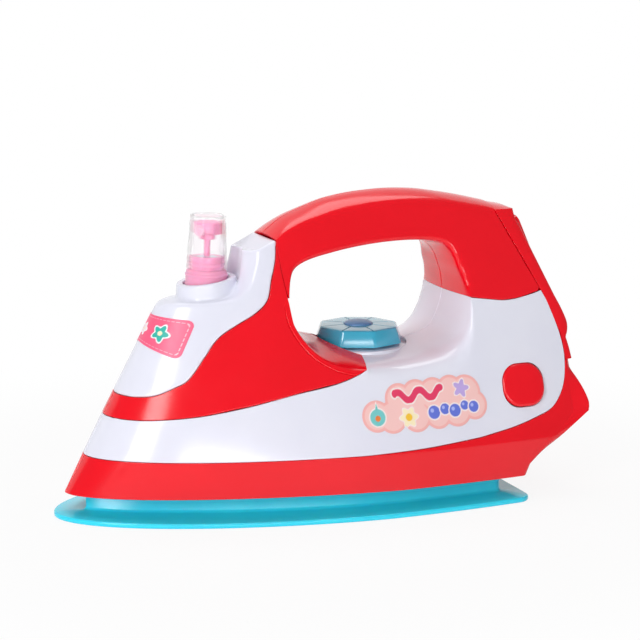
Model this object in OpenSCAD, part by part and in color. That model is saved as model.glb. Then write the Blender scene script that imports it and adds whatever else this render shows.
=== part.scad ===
// Toy steam iron: nose towards -X, heel towards +X, +Z up, resting on its soleplate at z = 0.
// The origin is at the middle of the overall length and width, on the underside of the soleplate.

/* [Overall] */
// Length from the tip of the sole rim to the heel feet
body_l = 231.4; // [180:0.2:260]
// Height to the top of the handle
body_h = 132; // [110:0.5:150]
// Width of the body at the bottom of the red band
body_w = 96; // [80:1:108]
// Wall thickness of the moulded shells
wall = 2.2; // [1.6:0.1:3]
// Gap between two shells that meet
seam = 0.24; // [0.1:0.02:0.4]

/* [Soleplate] */
// Width of the sole rim
rim_w = 107.4; // [100:0.2:116]
// Thickness of the sole rim
rim_t = 2.2; // [1.6:0.1:3.5]
// Corner radius at the rear of the sole rim
rim_corner = 7; // [3:0.5:12]
// Width of the riser between the rim and the body
riser_w = 77; // [60:1:84]
// Height of the underside of the body above the table
belly_z = 10.3; // [8:0.1:14]
// Wall of the riser
riser_wall = 2.4; // [1.6:0.1:3.5]

/* [Band and side] */
// Height of the top of the red band along the side
band_z = 26; // [20:0.5:30]
// Height of the lower edge of the upper red band at the nose
cheek_z = 42.6; // [38:0.2:46]
// Height of the lower edge of the nose cover at the nose
cover_z = 51.5; // [48:0.5:56]
// Height of the flat shoulder on top of the nose
shoulder_z = 88.8; // [86:0.2:92]
// How far a side leans inwards for each unit of height
lean = 0.342; // [0.28:0.002:0.38]

/* [Handle] */
// Height of the crown above the edges of the handle top
crown_h = 4.2; // [2:0.1:6]
// Depth of the rounding inside the hand opening
inner_crown = 1.4; // [0.5:0.1:2.5]

/* [Dial] */
// Distance of the dial axis behind the origin
dial_x = 20.9; // [16:0.1:26]
// Radius to the corners at the foot of the dial
dial_r = 20.2; // [16:0.1:21]
// Radius to the corners at the top of the dial
dial_top_r = 17.7; // [13:0.1:19]
// Height of the dial
dial_h = 7.4; // [5:0.1:9]
// Height of the foot of the dial
dial_z = 65.8; // [65:0.1:68]
// Radius of the round cap in the middle of the dial
dial_cap_r = 6.2; // [4:0.1:8]
// Radius of the dial shaft
dial_shaft_r = 4; // [3:0.1:5]
// Running clearance of a turning shaft, on the radius
shaft_fit = 0.08; // [0.03:0.01:0.1]

/* [Sprayer] */
// Distance of the sprayer axis ahead of the origin, at its rim
spray_x = 48.4; // [45:0.1:52]
// Height of the rim that the sprayer stands in
spray_z = 94; // [93:0.2:96]
// Backward lean of the sprayer, in degrees
spray_lean = 2.4; // [0:0.2:5]
// Outer radius of the round boss on the nose
boss_r = 12.6; // [11.5:0.1:13.5]
// Radius of the pink collar
collar_r = 9.05; // [8:0.05:9.6]
// Radius of the water bottle
bottle_r = 8.8; // [7.5:0.1:9]
// Length of the water bottle below its neck
bottle_l = 56; // [40:1:60]
// Radius of the clear cap at its foot
cap_r = 8.7; // [8.2:0.05:9]
// Radius of the clear cap at its top
cap_top_r = 7.65; // [7:0.05:8.2]
// Height of the clear cap
cap_h = 22.8; // [22:0.2:28]
// Radius of the spray head
head_r = 5.8; // [4.5:0.1:6.2]
// Height of the spray head
head_h = 7.6; // [6:0.2:8]
// Travel of the spray head
spray_stroke = 4; // [2:0.5:4]
// Direction of the nozzle, in degrees from straight ahead towards the left side
nozzle_turn = 35; // [0:5:90]

/* [Button] */
// Distance of the button behind the origin
button_x = 83.2; // [80:0.2:86]
// Height of the middle of the button
button_z = 48.3; // [46:0.1:50]
// Width of the button
button_w = 20; // [15:0.2:22]
// Height of the button
button_h = 17.8; // [14:0.2:20]
// Travel of the button
button_travel = 2.2; // [1:0.1:2.4]

/* [Batteries] */
// Diameter of a battery cell
cell_d = 10.5; // [9:0.1:11]
// Length of a battery cell
cell_l = 44.5; // [40:0.5:46]
// Thickness of the battery door above the rear cover
door_t = 1.9; // [1.2:0.1:2.4]

/* [Hidden] */

// Clearance between a moving piece and what is beside it
slack = 0.3;
// How far a cutting shape runs past what it cuts
over = 1;
// Radii of a case screw: thread, head and the boss around it
screw_r = 1.3;
screw_head_r = 2.7;
screw_boss_r = 3.6;
// Height of a screw head and length of a case screw below it
screw_head_h = 1.8;
case_screw_l = 12;
sole_screw_l = 11;
red = [0.93, 0.10, 0.15];
white = [0.92, 0.92, 0.95];
aqua = [0.25, 0.72, 0.85];
pink = [0.98, 0.62, 0.74];
steel = [0.72, 0.73, 0.75];

// Nose line: the front of every shell leans back along one straight line
nose_x = -111.1 / 231.4 * body_l;
nose_slope = 0.53 * body_l / body_h * 132 / 231.4;
// Where the sides reach their full width
full_x_share = 0.108;
full_x = full_x_share * body_l;

// Shape of the nose in plan: bluntness at the belly and at the upper red band
nose_p_shares = [1.44, 2.2];
nose_q_shares = [1.8, 2];
// Share of the half width that the sides lose towards the heel
heel_taper_share = 0.06;
// Share of the half width that the red band loses from its foot to its top
band_taper_share = 0.031;

function mix(a, b, t) = a + (b - a) * t;
function unit(v) = v / max(norm(v), body_l / 1e9);
function nose_at(z) = nose_x + nose_slope * (z - belly_z);
function share_up(z) = min(max((z - belly_z) / (cheek_z - belly_z), 0), 1);
function band_half(z) = body_w / 2 * (1 - band_taper_share * (z - belly_z) / (band_z - belly_z));
function wide_at(z) = z < band_z ? band_half(z) : band_half(band_z) - lean * (z - band_z);
function nose_share(t, z) = pow(
    1 - pow(1 - min(max(t, 0), 1), mix(nose_p_shares[0], nose_p_shares[1], share_up(z))),
    1 / mix(nose_q_shares[0], nose_q_shares[1], share_up(z)));
function heel_share(x) = 1 - heel_taper_share * pow(max(0, x - full_x) / (body_l / 4), 2);
// Half width of the outer skin at a place of the side view
function half_at(x, z) =
    wide_at(z) * heel_share(x) * nose_share((x - nose_at(z)) / (full_x - nose_at(z)), z);

// A side-view place from its shares of the length and of the height
function place(s) = [s[0] * body_l, s[1] * body_h];
function places(list) = [for (s = list) place(s)];
// Smooth curve through places, with corners at the listed numbers and n steps a span
function is_end(i, p, corners) = i == 0 || i == len(p) - 1 || len([for (c = corners) if (c == i) c]) > 0;
function slope_at(i, p, corners) = is_end(i, p, corners) ? [0, 0] : (p[i + 1] - p[i - 1]) / 2;
function hermite(a, b, ta, tb, t) =
    a * (2 * pow(t, 3) - 3 * pow(t, 2) + 1) + b * (3 * pow(t, 2) - 2 * pow(t, 3))
    + ta * (pow(t, 3) - 2 * pow(t, 2) + t) + tb * (pow(t, 3) - pow(t, 2));
function smooth(p, corners, n) = concat(
    [for (i = [0 : len(p) - 2], k = [0 : n - 1])
        hermite(p[i], p[i + 1], slope_at(i, p, corners), slope_at(i + 1, p, corners), k / n)],
    [p[len(p) - 1]]);
// Places that start on the nose line: shares of the length behind it, shares of the height above z
function behind_nose(z, list) =
    [for (s = list) let (h = z + s[1] * body_h) [nose_at(h) + s[0] * body_l, h]];

// Top of the red band, which rises round the heel
band_top_shares = [[0, 0], [0.014, 0], [0.047, 0], [0.098, 0], [0.185, 0], [0.271, 0], [0.358, 0],
    [0.427, 0], [0.47, 0], [0.496, 0.001], [0.547, 0.004], [0.597, 0.008], [0.639, 0.014],
    [0.672, 0.019], [0.696, 0.023], [0.72, 0.03], [0.764, 0.044], [0.805, 0.065], [0.836, 0.091],
    [0.845, 0.152], [0.83, 0.235], [0.798, 0.322], [0.746, 0.428]];
// Top of the white side: under the upper red band, along the saddle, up the rear post and back
side_top_shares = [[0, 0], [0.011, 0], [0.032, 0], [0.068, 0.003], [0.142, 0.017], [0.22, 0.043],
    [0.293, 0.073], [0.36, 0.095], [0.397, 0.117], [0.413, 0.135], [0.477, 0.131], [0.536, 0.142],
    [0.583, 0.159], [0.597, 0.204], [0.591, 0.268], [0.578, 0.331], [0.611, 0.323],
    [0.648, 0.315], [0.674, 0.316], [0.697, 0.323], [0.713, 0.329], [0.721, 0.333],
    [0.726, 0.336]];
// Lower edge of the upper red band, and its upper edge: up the nose cover and down the saddle rim
cheek_low_shares = [[0, 0], [0.011, 0], [0.032, 0], [0.068, 0.003], [0.109, 0.01], [0.142, 0.017],
    [0.173, 0.027], [0.2, 0.037], [0.22, 0.043], [0.24, 0.051], [0.255, 0.057], [0.267, 0.061],
    [0.278, 0.066], [0.29, 0.071], [0.299, 0.075], [0.309, 0.079], [0.325, 0.084],
    [0.344, 0.091], [0.364, 0.097], [0.384, 0.108], [0.4, 0.119], [0.409, 0.129]];
cheek_top_shares = [[0, 0], [0.008, 0], [0.025, 0], [0.053, 0.008], [0.079, 0.034],
    [0.095, 0.058], [0.106, 0.125], [0.115, 0.18], [0.138, 0.219], [0.163, 0.252],
    [0.176, 0.292], [0.169, 0.352], [0.161, 0.417], [0.148, 0.473], [0.184, 0.367],
    [0.216, 0.284], [0.24, 0.22], [0.274, 0.163], [0.312, 0.117], [0.349, 0.087],
    [0.382, 0.071], [0.413, 0.067]];
// Upper edge of the nose cover, from the nose back to the front corner of the tower
tower_foot_shares = [[0, -0.029], [0.002, -0.02], [0.004, -0.011], [0.014, -0.003], [0.03, 0],
    [0.047, 0.002], [0.07, 0.003], [0.095, 0.008], [0.118, 0.018], [0.13, 0.035],
    [0.134, 0.058], [0.132, 0.096], [0.128, 0.139], [0.123, 0.162]];
// Handle side: the edge of the hand opening and the seam with the white side, then the top edge
handle_low_shares = [[0.215, 0.012], [0.21, 0.038], [0.205, 0.068], [0.204, 0.095],
    [0.212, 0.113], [0.231, 0.129], [0.26, 0.142], [0.297, 0.155], [0.341, 0.165],
    [0.391, 0.17], [0.44, 0.168], [0.475, 0.16], [0.497, 0.144], [0.516, 0.115], [0.535, 0.073],
    [0.554, 0.036], [0.578, -0.019], [0.611, -0.027], [0.648, -0.035], [0.682, -0.032],
    [0.709, -0.021], [0.719, -0.017]];
handle_top_shares = [[0.205, 0.032], [0.189, 0.073], [0.171, 0.123], [0.148, 0.191],
    [0.163, 0.218], [0.188, 0.243], [0.221, 0.262], [0.259, 0.278], [0.307, 0.291],
    [0.363, 0.297], [0.419, 0.292], [0.475, 0.281], [0.515, 0.268], [0.547, 0.257],
    [0.567, 0.252], [0.59, 0.214], [0.617, 0.168], [0.647, 0.119], [0.673, 0.075],
    [0.698, 0.034], [0.715, 0.005], [0.721, -0.005]];
// Centre lines of the rounded parts between the two halves, matched to edge numbers of the lists above
cheek_deck_shares = [[0.227, 0.284], [0.253, 0.216], [0.283, 0.174], [0.315, 0.148],
    [0.344, 0.137], [0.378, 0.125], [0.424, 0.104]];
side_deck_shares = [[0.424, 0.171], [0.467, 0.17], [0.518, 0.173], [0.553, 0.185],
    [0.578, 0.211], [0.579, 0.268], [0.569, 0.331]];
under_shares = [[0.227, 0.002], [0.22, 0.038], [0.215, 0.068], [0.216, 0.089], [0.223, 0.105],
    [0.238, 0.119], [0.263, 0.133], [0.299, 0.147], [0.344, 0.157], [0.394, 0.162],
    [0.438, 0.161], [0.471, 0.15], [0.492, 0.133], [0.513, 0.105], [0.53, 0.073],
    [0.548, 0.036], [0.569, -0.019]];
crown_shares = [[0.14, 0.203], [0.151, 0.229], [0.165, 0.253], [0.191, 0.277], [0.223, 0.301],
    [0.258, 0.315], [0.296, 0.323], [0.344, 0.327], [0.397, 0.323], [0.448, 0.311],
    [0.501, 0.295], [0.561, 0.273]];
nose_deck_shares = [[0, -0.016], [0.002, -0.012], [0.005, -0.008], [0.014, 0], [0.03, 0.004],
    [0.046, 0.006], [0.069, 0.008], [0.092, 0.011], [0.108, 0.02], [0.113, 0.039],
    [0.112, 0.07], [0.106, 0.1], [0.098, 0.13], [0.091, 0.157]];
// Red band at the heel: its foot and the two lines above it, for the last seven edge numbers
band_foot_shares = [[0.705, 0], [0.737, 0], [0.778, 0], [0.806, 0], [0.819, 0], [0.8235, 0],
    [0.8245, 0]];
band_knee_shares = [[0.701, 0.042], [0.733, 0.042], [0.774, 0.042], [0.801, 0.041],
    [0.815, 0.039], [0.822, 0.037], [0.8245, 0.036]];
band_ramp_shares = [[0.697, 0.091], [0.733, 0.095], [0.78, 0.108], [0.82, 0.134],
    [0.847, 0.157], [0.873, 0.176], [0.887, 0.187]];
// Rear cover above the band: its front edge on the side, and the line of its back
heel_z = band_z + 0.235 * body_h;
cover_front_shares = [[0.83, 0], [0.8205, 0.03], [0.811, 0.057], [0.806, 0.07], [0.7996, 0.086],
    [0.79, 0.105], [0.779, 0.127], [0.759, 0.167],
    [0.74, 0.203], [0.726, 0.227], [0.669, 0.323], [0.615, 0.413], [0.588, 0.458], [0.567, 0.492]];
cover_back_shares = [[0.848, 0], [0.8362, 0.03], [0.8245, 0.057], [0.8192, 0.07], [0.8188, 0.086],
    [0.8153, 0.105], [0.807, 0.127], [0.786, 0.167],
    [0.765, 0.203], [0.7515, 0.227], [0.698, 0.323], [0.648, 0.413], [0.622, 0.458], [0.608, 0.492]];
// Rear wall from the side edge to the middle: share of the half width, share of the heel bulge
rear_shares = [[1, 0], [0.985, 0.28], [0.955, 0.5], [0.92, 0.68], [0.82, 0.8], [0.72, 0.87],
    [0.66, 0.9], [0.58, 0.93], [0.4, 0.97], [0.2, 0.99], [0, 1]];

// Does the sheet have a cell between columns i and i + 1 and rows j and j + 1
function has_cell(spans, i, j) =
    i >= 0 && i < len(spans) && j >= 0 && j >= spans[i][0] && j < spans[i][1];
// Differences along a column and along a row that stay on the sheet
function step_i(p, spans, i, j) =
    p[(has_cell(spans, i, j) || has_cell(spans, i, j - 1)) ? i + 1 : i][j]
    - p[(has_cell(spans, i - 1, j) || has_cell(spans, i - 1, j - 1)) ? i - 1 : i][j];
function step_j(p, spans, i, j) =
    p[i][(has_cell(spans, i, j) || has_cell(spans, i - 1, j)) ? j + 1 : j]
    - p[i][(has_cell(spans, i, j - 1) || has_cell(spans, i - 1, j - 1)) ? j - 1 : j];
// Inner face of a sheet, kept on its own side of the middle; a level row goes straight inwards
function inside(p, spans, t, mid, level) = [for (i = [0 : len(p) - 1]) [for (j = [0 : len(p[i]) - 1])
    let (n = unit(cross(step_i(p, spans, i, j), step_j(p, spans, i, j))),
        q = p[i][j] - t * (j == level ? unit([n[0], n[1], 0]) : n))
    [q[0], min(q[1], mid), q[2]]]];
// Two triangles that close a sheet along its edge from a to b, unless the edge lies in the middle
function rim_faces(points, a, b, n) = points[a][1] == 0 && points[b][1] == 0 ? [] : [[b, a, a + n], [b, a + n, b + n]];
// Faces of a closed sheet whose first n points are outside and next n points inside
function sheet_faces(points, rows, spans, n) =
    let (cells = [for (i = [0 : len(spans) - 1], j = [spans[i][0] : spans[i][1] - 1]) [i, j]])
    concat(
        [for (c = cells) let (a = c[0] * rows + c[1])
            each [[a, a + 1, a + rows + 1], [a, a + rows + 1, a + rows]]],
        [for (c = cells) let (a = n + c[0] * rows + c[1])
            each [[a, a + rows + 1, a + 1], [a, a + rows, a + rows + 1]]],
        [for (c = cells) let (a = c[0] * rows + c[1]) each concat(
            has_cell(spans, c[0] - 1, c[1]) ? [] : rim_faces(points, a, a + 1, n),
            has_cell(spans, c[0], c[1] + 1) ? [] : rim_faces(points, a + 1, a + rows + 1, n),
            has_cell(spans, c[0] + 1, c[1]) ? [] : rim_faces(points, a + rows + 1, a + rows, n),
            has_cell(spans, c[0], c[1] - 1) ? [] : rim_faces(points, a + rows, a, n))]);

// Directions square to a grid, and the same averaged with their neighbours
function normals(p, spans) = [for (i = [0 : len(p) - 1]) [for (j = [0 : len(p[i]) - 1])
    unit(cross(step_i(p, spans, i, j), step_j(p, spans, i, j)))]];
function eased(n) = [for (i = [0 : len(n) - 1]) [for (j = [0 : len(n[i]) - 1]) unit(
    2 * n[i][j] + n[max(i - 1, 0)][j] + n[min(i + 1, len(n) - 1)][j]
    + n[i][max(j - 1, 0)] + n[i][min(j + 1, len(n[i]) - 1)])]];
// Inner face of a sheet whose points in the middle stay there, without folds in its corners
function eased_inside(p, spans, t) = let (n = eased(eased(normals(p, spans))))
    [for (i = [0 : len(p) - 1]) [for (j = [0 : len(p[i]) - 1]) let (q = p[i][j] - t * n[i][j])
        [q[0], p[i][j][1] == 0 ? 0 : min(q[1], 0), q[2]]]];

// Closed sheet of thickness t from a grid of outer points, with the rows that each span uses
module sheet(p, spans, t, mid, level = -1) {
    points = concat([for (c = p) each c], [for (c = inside(p, spans, t, mid, level)) each c]);
    polyhedron(points, sheet_faces(points, len(p[0]), spans, len(points) / 2), convexity = 8);
}
// The same on both sides of the middle, joined where its points lie in the middle
module paired_sheet(p, spans, t) {
    points = concat([for (c = p) each c], [for (c = eased_inside(p, spans, t)) each c]);
    faces = [for (f = sheet_faces(points, len(p[0]), spans, len(points) / 2))
        if (points[f[0]][1] != 0 || points[f[1]][1] != 0 || points[f[2]][1] != 0) f];
    polyhedron(concat(points, [for (q = points) [q[0], -q[1], q[2]]]),
        concat(faces, [for (f = faces) [f[2], f[1], f[0]] + len(points) * [1, 1, 1]]), convexity = 8);
}

// Point of the outer skin on the left side
function skin(s, mid) = [s[0], -max(half_at(s[0], s[1]), -mid), s[1]];
// Column of skin points from place a up to place b, which stops half a seam from both
function side_column(a, b, n, mid) = let (e = seam / 2 / norm(b - a))
    [for (k = [0 : n]) skin(mix(a, b, mix(e, 1 - e, k / n)), mid)];
// Rounded stretch from the edge place a towards the centre place c, without the edge itself
function deck_points(a, c, n, mid, bend) = let (h = half_at(a[0], a[1]))
    [for (k = [1 : n]) let (w = k / n, s = a + (c - a) * (1 - pow(1 - w, bend)))
        [s[0], -max(h * (1 - w), -mid), s[1]]];
function back_to_front(list) = [for (i = [len(list) - 1 : -1 : 0]) list[i]];
// Repeats the first entry so that a list starts at edge number first
function from_edge(first, list, count) = [for (i = [0 : count - 1]) list[min(max(i - first, 0), len(list) - 1)]];

detail = 2;
side_rows = 4;
deck_rows = 4;
left_mid = -seam / 2;

band_top = smooth(behind_nose(band_z, band_top_shares), [], detail);
side_top = smooth(behind_nose(cheek_z, side_top_shares), [9, 15], detail);
side_deck = smooth(from_edge(9, behind_nose(cheek_z, side_deck_shares), 23), [9, 15], detail);
cheek_low = smooth(behind_nose(cheek_z, cheek_low_shares), [], detail);
cheek_top = smooth(behind_nose(cover_z, cheek_top_shares), [13], detail);
cheek_deck = smooth(from_edge(15, behind_nose(cover_z, cheek_deck_shares), 22), [], detail);
cover_low = [for (i = [0 : 13 * detail]) cheek_top[i]];
cover_top = smooth(behind_nose(shoulder_z, tower_foot_shares), [], detail);
cover_deck = smooth(behind_nose(shoulder_z, nose_deck_shares), [], detail);
handle_low = smooth(behind_nose(shoulder_z, handle_low_shares), [16], detail);
handle_top = smooth(behind_nose(shoulder_z, handle_top_shares), [3, 14], detail);
handle_under = smooth(behind_nose(shoulder_z, under_shares), [16], detail);
handle_crown = smooth(from_edge(3, behind_nose(shoulder_z, crown_shares), 22), [3, 14], detail);

// White side: side rows, then the saddle deck between edge numbers 9 and 15
module side_panel() {
    grid = [for (i = [0 : 22 * detail]) concat(
        side_column(band_top[i], side_top[i], side_rows, left_mid),
        deck_points(side_top[i], side_deck[i], deck_rows, left_mid, 2))];
    spans = [for (i = [0 : 22 * detail - 1])
        [0, i >= 9 * detail && i < 15 * detail ? side_rows + deck_rows : side_rows]];
    sheet(grid, spans, wall, left_mid, 0);
}

// Upper red band and the side below the nose cover, with the front of the saddle
module cheek_panel() {
    grid = [for (i = [0 : 21 * detail]) concat(
        side_column(cheek_low[i], cheek_top[i], side_rows, left_mid),
        deck_points(cheek_top[i], cheek_deck[i], deck_rows, left_mid, 2))];
    spans = [for (i = [0 : 21 * detail - 1])
        [0, i >= 15 * detail ? side_rows + deck_rows : side_rows]];
    sheet(grid, spans, wall, left_mid);
}

// Handle half: underside of the grip, side, and crown
module handle_panel() {
    grid = [for (i = [0 : 21 * detail]) let (u = min(i, 16 * detail)) concat(
        back_to_front(deck_points(handle_low[i], handle_under[u], deck_rows, left_mid, 2)),
        side_column(handle_low[i], handle_top[i], side_rows, left_mid),
        deck_points(handle_top[i], handle_crown[i], deck_rows, left_mid, 2))];
    spans = [for (i = [0 : 21 * detail - 1]) [
        i < 16 * detail ? 0 : deck_rows,
        deck_rows + side_rows + (i >= 3 * detail && i < 14 * detail ? deck_rows : 0)]];
    sheet(grid, spans, wall, left_mid);
}

// Nose cover: both sides, the shoulder, and the tower front with the hollow behind the sprayer
hollow_r = 15;
hollow_rows = [0.2, 0.42, 0.7, 1];
// Front of the tower at a point of the shoulder, pushed back to the hollow by the share f
function hollowed(x, y, z, f) = [
    f > 0 && abs(y) < hollow_r ? mix(x, max(x, (z - spray_z) * tan(spray_lean) - spray_x
        + sqrt(hollow_r * hollow_r - y * y)), f) : x, y, z];
function shoulder_points(i) = let (a = cover_top[i], c = cover_deck[i], h = half_at(a[0], a[1]))
    [for (w = hollow_rows) let (s = a + (c - a) * (1 - pow(1 - w, 2)))
        hollowed(s[0], -h * (1 - w), s[1], w < 0.45 ? 0 : min(1, max(0, i / detail / 2 - 4)))];
module nose_cover_shell() {
    last = 13 * detail;
    half = [for (i = [0 : last]) concat(
        side_column(cover_low[i], cover_top[i], side_rows, 0), shoulder_points(i))];
    grid = concat([[for (q = half[0]) [q[0], 0, q[2]]]], [for (i = [1 : last]) half[i]]);
    paired_sheet(grid, [for (i = [0 : last - 1]) [0, side_rows + len(hollow_rows)]], wall);
}
// Sloping top of the tower, held in the middle of the cover's wall and slightly below its rim
module tower_top() {
    a = handle_top[3 * detail] - [seam, 0];
    b = cover_top[13 * detail];
    run = norm(a - b);
    wide = [half_at(a[0], a[1]) - wall / 2, half_at(b[0], b[1]) - wall / 2];
    translate([a[0], 0, a[1]]) rotate([0, -atan2(a[1] - b[1], a[0] - b[0]), 0])
        translate([0, 0, -wall - slack]) linear_extrude(wall) polygon([
            [0, -wide[0]], [0, wide[0]], [-run, wide[1]],
            [-run * 1.6, hollow_r * 0.6], [-run * 1.6, -hollow_r * 0.6], [-run, -wide[1]]]);
}

// Lower red shell: four lines that fan out at the heel, then the rear wall with its foot
band_edges = 20;
band_levels = [0, 0.5, 1, 1.25, 1.5, 1.75, 2, 2.06, 2.13, 2.22, 2.33, 2.5, 2.75, 3];
function band_line(share, rear) = smooth(concat(
    [for (i = [0 : 13]) [band_top_shares[i][0], share]], rear), [], detail);
band_foot = smooth(behind_nose(belly_z, band_line(0, band_foot_shares)), [], 1);
band_knee = smooth(behind_nose(belly_z, band_line(0.0394, band_knee_shares)), [], 1);
band_ramp = smooth(behind_nose(belly_z, band_line(0.0788, band_ramp_shares)), [], 1);
heel_bulge = 4 / 231.4 * body_l;
// How far the heel feet stand out behind the rear wall, and where they are
foot_out = 5.183 / 231.4 * body_l;
// How far they stand out sideways
foot_side = 3.5 / 231.4 * body_l;
foot_z = 37.7 / 132 * body_h;
function foot_share(s, z) =
    min(1, max(0, (1 - s) / 0.06), 1) * max(0, min(1, (s - 0.58) / 0.1))
    * (z < foot_z ? 1 - pow(min(1, (foot_z - z) / (0.144 * body_h)), 1.1)
        : 1 - pow(min(1, (z - foot_z) / (0.114 * body_h)), 1.6));
function band_place(i, level) =
    let (p = [band_foot[i], band_knee[i], band_ramp[i], band_top[i]], k = min(floor(level), 2))
    mix(p[k], p[k + 1], level - k);
module band_half_shell() {
    last = band_edges * detail;
    side = [for (i = [0 : last]) [for (level = band_levels) skin(band_place(i, level) - [0, level / 3 * seam / 2], left_mid)]];
    wall_points = [for (r = rear_shares) if (r[0] < 1) [for (level = band_levels)
        let (p = band_place(last, level) - [0, level / 3 * seam / 2])
        [p[0] + heel_bulge * r[1] + foot_out * foot_share(r[0], p[1]),
            -max(half_at(p[0], p[1]) * r[0] + foot_side * foot_share(r[0], p[1]), seam / 2), p[1]]]];
    grid = concat(side, wall_points);
    top_row = len(band_levels) - 1;
    sheet(grid, [for (i = [1 : len(grid) - 1]) [0, top_row]], wall, left_mid, top_row);
}

// Rear cover: hoops from the left side round the back to the right side, from the heel up, then the lid
hoop_shares = [[0, 1], [0.45, 1], [0.8, 0.985], [0.95, 0.95], [1, 0.88], [1, 0.6], [1, 0.3], [1, 0]];
// Share of the half width at which each hoop place meets the handle
lid_shares = [1, 0.97, 0.9, 0.82, 0.74, 0.5, 0.25, 0];
lid_rows = 2;
lid_crown = 2.4 / 132 * body_h;
module rear_cover_shell() {
    front = smooth(behind_nose(heel_z, cover_front_shares), [], detail);
    back = smooth(behind_nose(heel_z, cover_back_shares), [], detail);
    levels = len(front);
    half_hoop = function (i) let (h = half_at(front[i][0], front[i][1]))
        [for (r = hoop_shares) [mix(front[i][0] + seam, back[i][0], r[0]), h * r[1],
            front[i][1] + seam / 2 * (1 - i / levels)]];
    top = half_hoop(levels - 1);
    half_lid = function (k) [for (i = [0 : len(top) - 1])
        let (y = mix(top[i][1], top[0][1] * lid_shares[i], k), w = y / top[0][1])
        [mix(top[i][0], top[0][0], k), y, top[i][2] + lid_crown * mix(0.25, 1, k) * (1 - w * w)]];
    halves = concat([for (i = [0 : levels - 1]) half_hoop(i)], [for (k = [1 : lid_rows]) half_lid(k / lid_rows)]);
    hoops = [for (h = halves) concat([for (q = h) [q[0], -q[1], q[2]]], [for (k = [len(h) - 2 : -1 : 0]) h[k]])];
    grid = [for (i = [0 : len(hoops[0]) - 1]) [for (hoop = hoops) hoop[i]]];
    last = len(grid) - 2;
    sheet(grid, [for (i = [0 : last]) [0, levels - 1 + (i > 0 && i < last ? lid_rows : 0)]], wall, body_w);
}

// Half width of a plan outline: nose and full width along X, roundness p and q, share lost rearwards
function plan_half(x, nose, full, half, p, q, lose) =
    half * pow(1 - pow(1 - min(1, max(0, (x - nose) / (full - nose))), p), 1 / q)
    * (1 - lose * pow(max(0, x - full) / (body_l / 5), 2));
// Plan outline with a pointed nose and rounded rear corners
module plan(nose, full, rear, half, p, q, lose, corner) {
    n = 24;
    x1 = rear - corner;
    y1 = plan_half(x1, nose, full, half, p, q, lose) - corner;
    side = concat(
        [for (i = [1 : n]) let (x = nose + (x1 - nose) * pow(i / n, 2))
            [x, plan_half(x, nose, full, half, p, q, lose)]],
        [for (a = [18 : 18 : 90]) [x1 + corner * sin(a), y1 + corner * cos(a)]]);
    polygon(concat([[nose, 0]], [for (s = side) [s[0], -s[1]]],
        [for (i = [len(side) - 1 : -1 : 0]) side[i]]));
}
module rim_plan() plan(-body_l / 2, 0.078 * body_l, 0.3548 * body_l, rim_w / 2, 1.6, 1.9, 0.037, rim_corner);
module riser_plan(inset) plan(-0.442 * body_l + 2 * inset, 0.111 * body_l, 0.318 * body_l - inset,
    riser_w / 2 - inset, 1.8, 1.2, 0.044, rim_corner / 2);

// Where the sole screws and the case screws are
sole_screw_places = [[-70, 0], [-10, -22], [-10, 22], [55, -22], [55, 22]] * body_l / 231.4;
handle_screws = [[-2, 114.5], [72, 105]] * body_l / 231.4;
side_screws = [[-66, 33], [30, 38], [98, 62]] * body_l / 231.4;
cheek_screws = [[-30, 66]] * body_l / 231.4;
screw_fit = 0.05;
screw_clear_r = screw_r + 0.2;
screw_sink_r = screw_head_r + slack;

// Blue sole: rim, hollow riser and the screw posts inside it
module soleplate() color(aqua) {
    difference() {
        union() {
            linear_extrude(rim_t) rim_plan();
            difference() {
                linear_extrude(belly_z) riser_plan(0);
                translate([0, 0, rim_t]) linear_extrude(belly_z) riser_plan(riser_wall);
            }
            for (p = sole_screw_places) translate(p) cylinder(h = belly_z, r = screw_boss_r, $fn = 32);
        }
        for (p = sole_screw_places) translate(p) {
            translate([0, 0, -over]) cylinder(h = belly_z + 2 * over, r = screw_clear_r, $fn = 32);
            translate([0, 0, -over]) cylinder(h = over + sole_head_z + screw_head_h, r = screw_sink_r, $fn = 32);
        }
    }
}
// Height of the underside of a sole screw's head
sole_head_z = 1;

// Case screw along +Z from the foot of its head, with a cross recess
module screw(length) {
    cylinder(h = length, r = screw_r, $fn = 24);
    translate([0, 0, -screw_head_h]) difference() {
        cylinder(h = screw_head_h, r = screw_head_r, $fn = 32);
        for (a = [0, 90]) rotate([0, 0, a]) translate([-screw_head_r * 0.6, -screw_head_r * 0.12, -over])
            cube([screw_head_r * 1.2, screw_head_r * 0.24, over + screw_head_h * 0.4]);
    }
}

module sole_screws() color(steel)
    for (p = sole_screw_places) translate([p[0], p[1], sole_head_z + screw_head_h]) screw(sole_screw_l);

// Plate that closes the body from below and takes the sole screws
tray_t = 2.2;
module base_tray() color(red) {
    difference() {
        union() {
            translate([0, 0, belly_z]) linear_extrude(tray_t)
                plan(nose_x + 2 * wall, full_x, 0.343 * body_l, body_w / 2 - wall - 3 * slack, 1.5, 1.8, 0.036, rim_corner / 2);
            for (p = sole_screw_places) translate([p[0], p[1], belly_z])
                cylinder(h = tray_t + sole_screw_l - 4, r = screw_boss_r, $fn = 32);
        }
        for (p = sole_screw_places) translate([p[0], p[1], belly_z - over])
            cylinder(h = sole_screw_l, r = screw_r + screw_fit, $fn = 32);
    }
}

// Depth from the middle to just inside the wall at a place of the side view
function boss_depth(p) = half_at(p[0], p[1]) - wall * 0.6;
// Pilot bosses of the left half, drilled from the middle
module pilot_bosses(list) {
    for (p = list) translate([p[0], -seam / 2, p[1]]) rotate([90, 0, 0]) difference() {
        cylinder(h = boss_depth(p) - seam / 2, r = screw_boss_r, $fn = 32);
        translate([0, 0, -over]) cylinder(h = case_screw_l - 3 + over, r = screw_r + screw_fit, $fn = 32);
    }
}
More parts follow.
